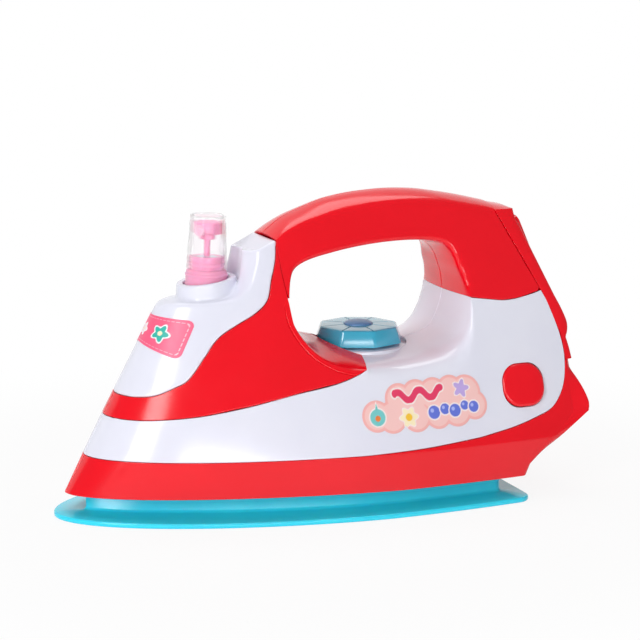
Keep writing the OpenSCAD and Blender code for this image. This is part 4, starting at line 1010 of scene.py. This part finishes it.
def dial_cap():
    """A low dome on a short edge, sunk a little into the dial's top."""
    top = shift(DIAL_X, 0, DIAL_Z + DIAL_H - 0.1)
    rise = DIAL_CAP_R * CAP_DOME
    dome = [(on_arc(DIAL_CAP_R, a)[0], CAP_EDGE + on_arc(rise, a)[1]) for a in range(0, 90, 6)]
    profile = [(0.0, -CAP_SINK), (DIAL_CAP_R, -CAP_SINK)] + dome + [(0.0, CAP_EDGE + rise)]
    return lathe("dial_cap_dome", profile, top, sharp=60)


# Sprayer, on its own axis

BOTTLE_R, BOTTLE_FOOT, BOTTLE_TOP, BOTTLE_WALL = 8.8, -58.0, -2.0, 1.0
NECK_R, NECK_WALL = 6.4, 1.2
COLLAR_TOP, STAGE_R, STAGE_TOP, PUMP_R = 7.3, 7.25, 12.8, 4.5
CAP_R, CAP_TOP_R, CAP_H, CAP_WALL, CAP_GAP = 8.7, 7.65, 22.8, 0.9, 0.3
HEAD_R, HEAD_H, HEAD_Z = 5.8, 7.6, 20.0
STEM_R, STEM_FOOT_R, STEM_FOOT, STEM_FOOT_H = 1.25, 3.2, 9.0, 1.6
NOZZLE_R, NOZZLE_TURN, NOZZLE_SHARE = 2.4, 35.0, 0.52
NOZZLE_FACE, NOZZLE_DEPTH = HEAD_R - 0.3, 1.2
SPRING_FOOT, SPRING_TOP, SPRING_R, SPRING_WIRE, SPRING_TURNS = -8.9, 8.8, 2.575, 0.35, 7

# Steps of the collar by how far they lie inside its radius, and by height
COLLAR_STEPS = [(0.0, 0.3), (0.0, 1.3), (0.25, 1.6), (0.25, 4.4), (0.05, 4.7), (0.05, 5.5), (0.45, 5.8),
                (0.45, 6.7), (0.9, COLLAR_TOP)]

# Threads above the collar by their heights, and how a thread stands out of the wall
THREADS_UP = (0.9, 2.7)
THREAD = [(0.0, 0.0), (0.3, 0.35), (0.3, 0.75), (0.0, 1.1)]

# Ribs on the head's back: how many each way, the turn to the middle one and from one to the next
RIBS_EACH_WAY, RIB_MIDDLE, RIB_STEP = 3, NOZZLE_TURN - 75, 14


def spray_collar():
    floor = COLLAR_TOP - 1.8
    outside = [(NECK_R, COLLAR_STEPS[0][1])] + [(COLLAR_R - step, z) for step, z in COLLAR_STEPS]
    stage = [(STAGE_R, COLLAR_TOP)]
    stage += [(STAGE_R + out, COLLAR_TOP + start + up) for start in THREADS_UP for out, up in THREAD]
    inside = [(STAGE_R, STAGE_TOP), (PUMP_R, STAGE_TOP), (PUMP_R, floor), (NECK_R, floor)]
    return lathe("spray_collar_ring", rounded(outside + stage + inside, 0.25))


def pump_spring():
    """Coil of the pump: its foot stands in the bottle and its top meets the foot of the head's stem."""
    around, across = 40, 12
    n = around * SPRING_TURNS
    rise = (SPRING_TOP - SPRING_FOOT - 2 * SPRING_WIRE) / n
    points = []
    for i in range(n + 1):
        a = 2 * math.pi * i / around
        for out, up in circle(SPRING_WIRE, across):
            r, z = SPRING_R + out, SPRING_FOOT + SPRING_WIRE + up + rise * i
            points.append(spray_place @ Vector((r * math.cos(a), r * math.sin(a), z)))
    return mesh_object("pump_spring_coil", points, ring_faces(n + 1, across, flip=True), 60)


def spray_cap():
    foot = COLLAR_TOP + CAP_GAP
    top = foot + CAP_H
    profile = [(CAP_R - CAP_WALL, foot), (CAP_R, foot), (CAP_TOP_R, top), (0.0, top), (0.0, top - CAP_WALL),
               (CAP_TOP_R - CAP_WALL, top - CAP_WALL)]
    return lathe("spray_cap_shell", rounded(profile, 0.8, 5), sharp=70)


def water_bottle():
    t = BOTTLE_WALL
    mouth = COLLAR_TOP - 2
    profile = [(0.0, BOTTLE_FOOT), (BOTTLE_R, BOTTLE_FOOT), (BOTTLE_R, BOTTLE_TOP - 4), (NECK_R, BOTTLE_TOP),
               (NECK_R, mouth), (NECK_R - NECK_WALL, mouth), (NECK_R - NECK_WALL, BOTTLE_TOP - 0.6),
               (BOTTLE_R - t, BOTTLE_TOP - 4.6), (BOTTLE_R - t, BOTTLE_FOOT + t), (0.0, BOTTLE_FOOT + t)]
    return lathe("water_bottle_wall", rounded(profile, 1.2, 4), sharp=70)


# The nozzle's axis points out of the head
nozzle_place = (spray_place @ turn(180 + NOZZLE_TURN, "Z") @ shift(z=HEAD_Z + HEAD_H * NOZZLE_SHARE)
                @ turn(90, "Y"))


def spray_head():
    """The button with the port for the nozzle, its ribs and the stem that goes down into the pump."""
    top, waist = HEAD_Z + HEAD_H, HEAD_Z + 2.4
    head = lathe("head", rounded([(0.0, HEAD_Z), (HEAD_R - 2.6, HEAD_Z), (HEAD_R - 2.5, waist),
                                  (HEAD_R, waist + 0.3), (HEAD_R, top - 0.2), (HEAD_R - 1.2, top),
                                  (0.0, top - 0.8)], 0.5))
    cut(head, prism(circle(NOZZLE_R, 48), NOZZLE_FACE - NOZZLE_DEPTH, NOZZLE_FACE + 4, nozzle_place))
    rib = [(HEAD_R - 0.4, -0.3), (HEAD_R + 0.3, -0.2), (HEAD_R + 0.3, 0.2), (HEAD_R - 0.4, 0.3)]
    ribs = [prism(rib, waist, top - 1.0, spray_place @ turn(RIB_MIDDLE + RIB_STEP * k, "Z"))
            for k in range(-RIBS_EACH_WAY, RIBS_EACH_WAY + 1)]
    shoulder, end = STEM_FOOT + STEM_FOOT_H, HEAD_Z + 0.3
    stem = lathe("stem", [(0.0, STEM_FOOT), (STEM_FOOT_R, STEM_FOOT), (STEM_FOOT_R, shoulder),
                          (STEM_R, shoulder), (STEM_R, end), (0.0, end)], sides=48)
    return joined("spray_head_button", head, *ribs, stem)


def nozzle():
    """A disc with a raised rim and a small hole in the middle."""
    back, face, rim = NOZZLE_FACE - NOZZLE_DEPTH, NOZZLE_FACE + 0.2, NOZZLE_FACE + 0.5
    hole = NOZZLE_FACE - 0.5
    profile = [(0.0, back), (NOZZLE_R, back), (NOZZLE_R, rim), (NOZZLE_R - 0.7, rim), (NOZZLE_R - 0.9, face),
               (0.5, face), (0.45, hole), (0.0, hole)]
    return lathe("nozzle_disc", rounded(profile, 0.2), nozzle_place, sides=48)


# Sound button, with its face parallel to the side

along_y = turn(-90, "X")
BUTTON_X, BUTTON_Z, BUTTON_W, BUTTON_H = 83.2, 48.3, 20.0, 17.8
BUTTON_CORNER = 0.44 * BUTTON_H
BUTTON_PROUD, BUTTON_BACK_Y, BUTTON_ROUND = 1.0, -28.0, 1.6
BUTTON_CROWN = [(0.6, -0.05), (0.3, -0.12), (0.1, -0.14)]
FLANGE_OUT, FLANGE_Y0, FLANGE_Y1 = 1.4, -29.1, -27.5
button_place = shift(BUTTON_X, 0, BUTTON_Z) @ along_y


def button_outline(grow):
    """Outline of the button's rounded rectangle, grown by the amount."""
    return rounded_oblong(BUTTON_H + 2 * grow, BUTTON_W + 2 * grow, BUTTON_CORNER, 10)


def sound_button():
    """The cap with its crowned face, and the flange that holds it behind the side shell."""
    outline = np.array(button_outline(0))
    y_face = -half_at(BUTTON_X, BUTTON_Z) - BUTTON_PROUD
    rings = []
    for a in range(0, 91, 15):
        inset, depth = round_off(BUTTON_ROUND, a)
        rings.append((1 - inset / (BUTTON_H / 2), depth))
    rings += BUTTON_CROWN
    points = [(BUTTON_X + u, BUTTON_BACK_Y, BUTTON_Z + v) for u, v in outline]
    points += [(BUTTON_X + u, y_face + depth + v * LEAN, BUTTON_Z + v)
               for share, depth in rings for u, v in outline * share]
    cap = mesh_object("sound_button_cap", points, ring_faces(len(rings) + 1, len(outline), flip=True), 60)
    flange = prism(button_outline(FLANGE_OUT), FLANGE_Y0, FLANGE_Y1, button_place)
    return joined("sound_button_cap", cap, flange)


# Printed sheets

STICKER_STEP, STICKER_LIFT, STICKER_T = 0.25, 0.2, 0.13
EDGE_REACH = 1.5 * STICKER_STEP
INK_EDGE = 0.16


def one_ink(colour, count):
    return np.tile(np.array(srgb(*colour)[:3]), (count, 1))


def grown_layer(base, colour, inside):
    """Colours with another one laid over them where the distance inside is positive."""
    share = np.clip(inside / INK_EDGE + 0.5, 0, 1)[:, None]
    return base * (1 - share) + np.array(srgb(*colour)[:3]) * share


def disc(u, v, cu, cv, r):
    return r - np.hypot(u - cu, v - cv)


def star(u, v, cu, cv, r, arms, depth):
    """Distance inside a soft star or flower with the given number of arms."""
    angle = np.arctan2(v - cv, u - cu)
    return r * (1 - depth + depth * np.cos(arms * angle)) - np.hypot(u - cu, v - cv)


def printed_sheet(name, place, edge, paint, size):
    """A thin sheet on the skin inside an outline, with its colours painted by formula."""
    nu, nv = (int(a / STICKER_STEP) + 1 for a in size)
    u, v = np.meshgrid(np.linspace(0, size[0], nu), np.linspace(0, size[1], nv), indexing="ij")
    inside = edge(u, v)
    e = STICKER_STEP / 4
    slope = np.stack([edge(u + e, v) - edge(u - e, v), edge(u, v + e) - edge(u, v - e)]) / (2 * e)
    near = (inside < 0) & (inside > -EDGE_REACH)
    steep = np.maximum((slope**2).sum(0), 0.25)
    u = u + np.where(near, -inside * slope[0] / steep, 0)
    v = v + np.where(near, -inside * slope[1] / steep, 0)
    keep = (inside >= 0) | near
    index = -np.ones(u.shape, int)
    faces, flat = [], []

    def vertex(i, j):
        if index[i, j] < 0:
            index[i, j] = len(flat)
            flat.append((u[i, j], v[i, j]))
        return int(index[i, j])

    for i in range(nu - 1):
        for j in range(nv - 1):
            corner = [(i, j), (i + 1, j), (i + 1, j + 1), (i, j + 1)]
            if all(keep[c] for c in corner) and any(inside[c] >= 0 for c in corner):
                faces.append([vertex(*c) for c in corner])
    flat = np.array(flat)
    skin_points = np.array([place(*q) for q in flat])
    along_u = np.array([place(q[0] + e, q[1]) for q in flat]) - skin_points
    along_v = np.array([place(q[0], q[1] + e) for q in flat]) - skin_points
    normal = unit_rows(np.cross(along_u, along_v))
    count = len(flat)
    points = np.vstack([skin_points + normal * up for up in (STICKER_LIFT, STICKER_LIFT - STICKER_T)])
    sides = {edge for f in faces for edge in quad_edges(f)}
    rim = [[b, a, a + count, b + count] for a, b in sides if (b, a) not in sides]
    faces = faces + [[k + count for k in reversed(f)] for f in faces] + rim
    mesh = bpy.data.meshes.new(name)
    mesh.from_pydata([tuple(q * MM) for q in points], [], faces)
    colours = np.ones((2 * count, 4))
    colours[:, :3] = np.tile(paint(flat[:, 0], flat[:, 1]), (2, 1))
    layer = mesh.color_attributes.new("ink", "FLOAT_COLOR", "POINT")
    layer.data.foreach_set("color", colours.ravel())
    return add_object(name, mesh)


# Cloud-shaped sheet on the left side: circles of its outline, then shapes printed on it
CLOUD = [(7, 8.5, 6.4), (14, 7.5, 6.6), (18, 14.5, 6.2), (26, 15, 6.4), (34, 14.5, 6.8), (42, 15.2, 6.2),
         (49, 13.5, 7.2), (52.5, 8, 6), (44, 7, 6.8), (35, 6.5, 6.2), (25, 6.8, 6.6)]
CLOUD_AT, CLOUD_SIZE, CLOUD_TURN = (6.0, 32.6), (59.0, 22.0), 0.035
BUBBLES = [(33.2, 7.2, 2.7), (38.4, 8.0, 2.2), (43.0, 6.9, 2.6), (47.8, 8.4, 1.9), (52.0, 7.4, 2.3)]
SALMON, PALE, CRIMSON, BLUE_INK = (250, 184, 180), (255, 238, 236), (232, 62, 104), (104, 122, 222)
PALE_SALMON, PALE_BLUE = (252, 204, 200), (176, 188, 246)
TEAL_INK, ORANGE_INK, LAVENDER = (120, 205, 205), (240, 130, 60), (196, 172, 232)
CREAM, YELLOW = (255, 240, 200), (250, 200, 60)
CLOUD_RIM, OUTLINE_W = 1.1, 0.55

# The motifs by their middle and radius. The wave has its ends, a start, a middle line, a swing, a rate and
# half its width, and the drop the slopes of its tip. Flower and rosette have arms and their depth
WAVE_FROM, WAVE_TO, WAVE_START, WAVE_V = 16.5, 37.5, 15, 15.2
WAVE_SWING, WAVE_RATE, WAVE_R = 1.7, 0.62, 1.4
DROP_U, DROP_V, DROP_R, DROP_TIP_R = 7.4, 8.0, 3.4, 3.2
DROP_NARROW, DROP_UP, DROP_DOWN = 2.2, 0.55, 9
FLOWER, FLOWER_ARMS, FLOWER_DEPTH = (47.2, 15.4, 3.8), 5, 0.22
ROSETTE, ROSETTE_ARMS, ROSETTE_DEPTH = (21.4, 6.6, 4.1), 6, 0.16


def cloud_edge(u, v):
    return np.max([disc(u, v, *c) for c in CLOUD], axis=0)


def cloud_place(u, v):
    return skin((CLOUD_AT[0] + u - v * CLOUD_TURN, CLOUD_AT[1] + v + u * CLOUD_TURN))


def cloud_paint(u, v):
    def motif(base, colour, inside):
        return grown_layer(grown_layer(base, PALE, inside + OUTLINE_W), colour, inside)
    out = grown_layer(one_ink(SALMON, len(u)), PALE_SALMON, cloud_edge(u, v) - CLOUD_RIM)
    along = np.clip(u, WAVE_FROM, WAVE_TO)
    turned = (along - WAVE_START) * WAVE_RATE
    slope = WAVE_SWING * WAVE_RATE * np.cos(turned)
    off = (v - WAVE_V - WAVE_SWING * np.sin(turned)) / np.hypot(1, slope)
    out = motif(out, CRIMSON, WAVE_R - np.hypot(u - along, off))
    for cu, cv, r in BUBBLES:
        out = motif(out, BLUE_INK, disc(u, v, cu, cv, r))
        out = grown_layer(out, PALE_BLUE, disc(u, v, cu - r * 0.3, cv + r * 0.3, r * 0.3))
    above, below = np.maximum(v - DROP_V, 0), np.maximum(DROP_V - v, 0)
    tip = DROP_TIP_R - np.abs(u - DROP_U) * DROP_NARROW - above * DROP_UP - below * DROP_DOWN
    out = motif(out, TEAL_INK, np.maximum(disc(u, v, DROP_U, DROP_V, DROP_R), tip))
    out = grown_layer(out, ORANGE_INK, disc(u, v, DROP_U, DROP_V - 0.4, 1.2))
    out = motif(out, LAVENDER, star(u, v, *FLOWER, FLOWER_ARMS, FLOWER_DEPTH))
    out = motif(out, CREAM, star(u, v, *ROSETTE, ROSETTE_ARMS, ROSETTE_DEPTH))
    return grown_layer(out, YELLOW, disc(u, v, *ROSETTE[:2], 1.5))


# Patch round the nose: it runs from the left side over the nose line to the right side
PATCH_SIZE, PATCH_CORNER, PATCH_REACH = (45.0, 15.2), 2.6, 15.4
PATCH_LOW, PATCH_HIGH, PATCH_BEND = (72.6, 66.6), (83.6, 82.2), 1.5
PATCH_PINK, STITCH_PINK, NEAR_WHITE = (252, 100, 138), (255, 214, 226), (252, 232, 240)
PATCH_TEAL, PURE_WHITE = (50, 186, 172), (255, 255, 255)
STITCH_IN, STITCH_W, STITCH_STEP, STITCH_GAP = 1.25, 0.2, 1.9, 0.3
PATCH_FLOWERS = [(10.5, 7.8, 3.9, PATCH_TEAL), (22.5, 7.2, 3.0, NEAR_WHITE), (34.5, 7.8, 3.9, PATCH_TEAL)]
PETALS, PETAL_DEPTH = 5, 0.2


def patch_edge(u, v):
    mid_u, mid_v = PATCH_SIZE[0] / 2, PATCH_SIZE[1] / 2
    du = np.abs(u - mid_u) - (mid_u - PATCH_CORNER)
    dv = np.abs(v - mid_v) - (mid_v - PATCH_CORNER)
    return PATCH_CORNER - np.hypot(np.maximum(du, 0), np.maximum(dv, 0)) - np.minimum(np.maximum(du, dv), 0)


def patch_place(u, v):
    t = 2 * u / PATCH_SIZE[0] - 1
    back = abs(t) ** PATCH_BEND
    z = mix(mix(*PATCH_LOW, back), mix(*PATCH_HIGH, back), v / PATCH_SIZE[1])
    x = nose_at(z) + PATCH_REACH * t * t
    return (x, math.copysign(half_at(x, z), -t), z)


def patch_paint(u, v):
    line = STITCH_W - np.abs(patch_edge(u, v) - STITCH_IN)
    half = STITCH_STEP / 2
    across, up = np.abs((u + v * 0.02) % STITCH_STEP - half), np.abs(v % STITCH_STEP - half)
    dashes = np.minimum(across, up) - STITCH_GAP
    stitches = np.minimum(line, np.where(line > 0, dashes, -1))
    out = grown_layer(one_ink(PATCH_PINK, len(u)), STITCH_PINK, stitches)
    for cu, cv, r, colour in PATCH_FLOWERS:
        inside = star(u, v, cu, cv, r, PETALS, PETAL_DEPTH)
        out = grown_layer(grown_layer(out, PURE_WHITE, inside + 0.7), colour, inside)
        out = grown_layer(out, CREAM, disc(u, v, cu, cv, r * 0.28))
    return out


# Softened copies of small frame nodes

def softened(node, width, angle=35):
    """A copy of a frame node's mesh with its sharp edges rounded by the width."""
    obj = add_object(node + "_soft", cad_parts[node].data.copy())
    bm = bmesh.new()
    bm.from_mesh(obj.data)
    bmesh.ops.remove_doubles(bm, verts=bm.verts, dist=0.002 * MM)
    bmesh.ops.dissolve_limit(bm, angle_limit=math.radians(2), verts=bm.verts, edges=bm.edges)
    edges = [e for e in bm.edges if len(e.link_faces) == 2 and e.calc_face_angle(0) > math.radians(angle)]
    bmesh.ops.bevel(bm, geom=edges, offset=width * MM, segments=2, affect="EDGES", clamp_overlap=True,
                    profile=0.5)
    bm.to_mesh(obj.data)
    bm.free()
    tidy_mesh(obj, sharp=40, merge=0.0005)
    return obj


# Assembly

sides, cheeks, handles, bands = side_panels(), cheek_panels(), handle_panels(), band_panels()
for cheek, side in zip(cheeks, (1, -1)):
    cut(cheek, lip_groove(side))

# Openings: the button's in the left side, the dial seat's in both, speaker holes and screw seats on the right
SEAT_R, SEAT_GAP, BUTTON_GAP = 20.9, 0.15, 0.3
seat_place = shift(DIAL_X, 0, BAND_Z + BODY_H / 5)


def seat_hole():
    return prism(circle(SEAT_R + SEAT_GAP, 120), 0, BODY_H / 4, seat_place)


cut(sides[0], prism(button_outline(BUTTON_GAP), -60, -20, button_place), seat_hole())
for piece in (sides[1], *cheeks):
    cut(piece, seat_hole())

# Screw seats of the right half: a boss from the middle outwards, open from the screw's head on
HEAD_Y, SEAT_BOSS_R, SEAT_HOLE_R, SHANK_R = 4.0, 4.2, 3.0, 1.6
SEATS = [(handles[1], [(-2, 114.5), (72, 105)]), (sides[1], [(-66, 33), (30, 38), (98, 62)]),
         (cheeks[1], [(-30, 66)])]
for shell, places in SEATS:
    for x, z in places:
        place = shift(x, 0, z) @ along_y
        cut(shell, prism(circle(SEAT_HOLE_R, 40), HEAD_Y, BODY_W, place))
        boss = prism(circle(SEAT_BOSS_R, 40), SEAM, half_at(x, z) - WALL * 0.6, place)
        cut(boss, prism(circle(SEAT_HOLE_R, 40), HEAD_Y, BODY_W, place))
        cut(boss, prism(circle(SHANK_R, 32), -1, BODY_W, place))
        merge(shell, boss)

# Speaker holes in rings round the button's place on the right side
GRILLE_R, GRILLE_RING, GRILLE_RINGS = 1.1, 3.92, 3
outwards = (shift(BUTTON_X, half_at(BUTTON_X, BUTTON_Z), BUTTON_Z) @ along_y
            @ Matrix.Rotation(math.atan(LEAN), 4, "X"))
for ring in range(GRILLE_RINGS):
    count = max(1, 6 * ring)
    for k in range(count):
        place = outwards @ turn(360 * k / count, "Z") @ shift(ring * GRILLE_RING)
        cut(sides[1], prism(circle(GRILLE_R, 20), -3 * WALL, 3 * WALL, place))

red_case, white_case = (red, "case", "red_plastic"), (white, "case", "white_plastic")
for name, pair, look in [("side_shell", sides, white_case), ("cheek", cheeks, red_case),
                         ("handle", handles, red_case), ("band_shell", bands, red_case)]:
    for side, piece in zip(("left", "right"), pair):
        finish_piece(piece, *look, f"{name}_{side}")
finish_piece(nose_cover(), *white_case, "nose_cover")
finish_piece(door_window(rear_cover()), *red_case, "rear_cover")
for name, place, edge, paint, size in [
        ("side_sticker", cloud_place, cloud_edge, cloud_paint, CLOUD_SIZE),
        ("front_patch", patch_place, patch_edge, patch_paint, PATCH_SIZE)]:
    finish_piece(printed_sheet(name, place, edge, paint, size), ink, "case", None)
finish_piece(sole(), blue, "case", "blue_plastic", "soleplate")
finish_piece(dial(), teal, "dial_unit", "dial_plastic", "dial")
finish_piece(dial_cap(), cap_grey, "dial_unit", "dial_cap_plastic", "dial_cap")
finish_piece(spray_collar(), pink, "bottle_unit", "pink_plastic", "spray_collar")
finish_piece(spray_cap(), clear, "cap", "clear_plastic", "spray_cap")
finish_piece(water_bottle(), clear, "bottle_unit", "clear_plastic", "water_bottle")
finish_piece(spray_head(), pink, "spray_top", "pink_plastic", "spray_head")
finish_piece(nozzle(), pale_pink, "spray_top", "pink_plastic", "nozzle_insert")
spring = finish_piece(pump_spring(), steel, None, "spring_steel", "pump_spring")
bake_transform(spring)
finish_piece(sound_button(), red, "button", "red_plastic", "sound_button")
finish_piece(softened("battery_door", 0.4), red, "door", "red_plastic", "battery_door")
finish_piece(softened("dial_seat", 0.3), *white_case, "dial_seat")

# Frame nodes that stay as they are, by the finish that each gets
KEPT = [
    (white, ["bottle_sleeve", "pump_body", "dip_tube", "button_guide"]),
    (red, ["base_tray"]),
    (black, ["sound_switch", "speaker", "battery_box"]),
    (green, ["sound_board"]),
    (jacket, ["battery_cells"]),
    (steel, ["sole_screws", "case_screws", "dial_screw", "battery_contacts", "door_screw"]),
]
for material, nodes in KEPT:
    for node in nodes:
        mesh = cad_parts[node].data
        mesh.materials.clear()
        mesh.materials.append(material)


# Camera at the photograph's viewpoint

LOOK_AT = (-5.28, -21.82, 80.3)
CAMERA_YAW, CAMERA_UP, CAMERA_AWAY, LENS = 21.0, 10.8, 840.8, 112.5


def make_camera():
    yaw, up = math.radians(CAMERA_YAW), math.radians(CAMERA_UP)
    back = Vector((-math.sin(yaw) * math.cos(up), -math.cos(yaw) * math.cos(up), math.sin(up)))
    data = bpy.data.cameras.new("camera")
    data.lens = LENS
    data.sensor_width = 36
    data.clip_end = 20
    obj = add_object("camera", data)
    obj.location = (Vector(LOOK_AT) + back * CAMERA_AWAY) * MM
    obj.rotation_euler = (-back).to_track_quat("-Z", "Y").to_euler()
    bpy.context.scene.camera = obj


# Stage and lamps, in metres: half width, depth and height of the white sheets
STAGE_HALF, STAGE_BACK, STAGE_TALL = 3.0, 1.8, 3.0
FLOOR_Z, BACKDROP_Z = -0.0002, -0.05
ROOM_LIGHT = 0.3


def softbox(name, place, aim, size, watts):
    data = bpy.data.lights.new(name, "AREA")
    data.shape = "RECTANGLE"
    data.size, data.size_y = size
    data.energy = watts
    obj = add_object(name, data)
    obj.location = place
    obj.rotation_euler = (Vector(aim) - Vector(place)).to_track_quat("-Z", "Y").to_euler()


def larger(nodes, links, a, b):
    """The larger of two values."""
    node = new_node(nodes, "Math")
    node.operation = "MAXIMUM"
    links.new(a, node.inputs[0])
    links.new(b, node.inputs[1])
    return node.outputs[0]


def stage_sheet(name, corners, glow_near, glow_far, reach):
    """White studio sheet, white to the camera and in reflections, with a soft shadow near the object."""
    m, nodes, links, shader = new_material(name + "_white")
    set_inputs(shader, {"Base Color": (0.9, 0.9, 0.9, 1), "Roughness": 0.6})
    path = new_node(nodes, "LightPath")
    place = new_node(nodes, "TexCoord")
    away = new_node(nodes, "VectorMath")
    away.operation = "LENGTH"
    fade = new_node(nodes, "MapRange", {"From Min": reach[0], "From Max": reach[1], "To Min": glow_near,
                                        "To Max": glow_far})
    fade.interpolation_type = "SMOOTHSTEP"
    links.new(place.outputs["Object"], away.inputs[0])
    links.new(away.outputs["Value"], fade.inputs["Value"])
    seen = larger(nodes, links, path.outputs["Is Camera Ray"], path.outputs["Is Glossy Ray"])
    seen = larger(nodes, links, seen, path.outputs["Is Transmission Ray"])
    share = new_node(nodes, "Math")
    share.operation = "MULTIPLY"
    links.new(seen, share.inputs[0])
    links.new(fade.outputs[0], share.inputs[1])
    blend_to(nodes, links, share.outputs[0], shader, new_node(nodes, "Emission"), "Material Output")
    mesh = bpy.data.meshes.new(name)
    mesh.from_pydata(corners, [], [(0, 1, 2, 3)])
    mesh.materials.append(m)
    obj = add_object(name, mesh)
    return obj


def make_stage():
    half, back, low, tall = STAGE_HALF, STAGE_BACK, BACKDROP_Z, STAGE_TALL
    floor = stage_sheet("floor", [(-half, -half, 0), (half, -half, 0), (half, half, 0), (-half, half, 0)],
                        glow_near=0.9, glow_far=1.0, reach=(0.13, 0.3))
    floor.location.z = FLOOR_Z
    stage_sheet("backdrop", [(-half, back, low), (half, back, low), (half, back, tall), (-half, back, tall)],
                glow_near=1.0, glow_far=1.0, reach=(0.15, 0.4))


def make_world():
    """Even room light, with a white background for what looks past the stage."""
    world = bpy.data.worlds.new("studio")
    bpy.context.scene.world = world
    world.use_nodes = True
    nodes, links = world.node_tree.nodes, world.node_tree.links
    room = nodes["Background"]
    set_inputs(room, {"Color": (1, 1, 1, 1), "Strength": ROOM_LIGHT})
    backdrop = new_node(nodes, "Background", {"Strength": 1.0})
    path = new_node(nodes, "LightPath")
    seen = larger(nodes, links, path.outputs["Is Camera Ray"], path.outputs["Is Transmission Ray"])
    blend_to(nodes, links, seen, room, backdrop, "World Output")


make_camera()
make_stage()
make_world()
softbox("key", (-1.0, -0.8, 0.55), (0, 0, 0.06), (0.35, 0.8), 8)
softbox("front", (-0.25, -1.2, 0.1), (0, 0, 0.05), (0.8, 0.16), 3.2)
softbox("top", (0.1, 0.3, 1.1), (0, 0, 0.06), (0.9, 0.6), 5.5)
bpy.context.scene.view_settings.view_transform = "Standard"
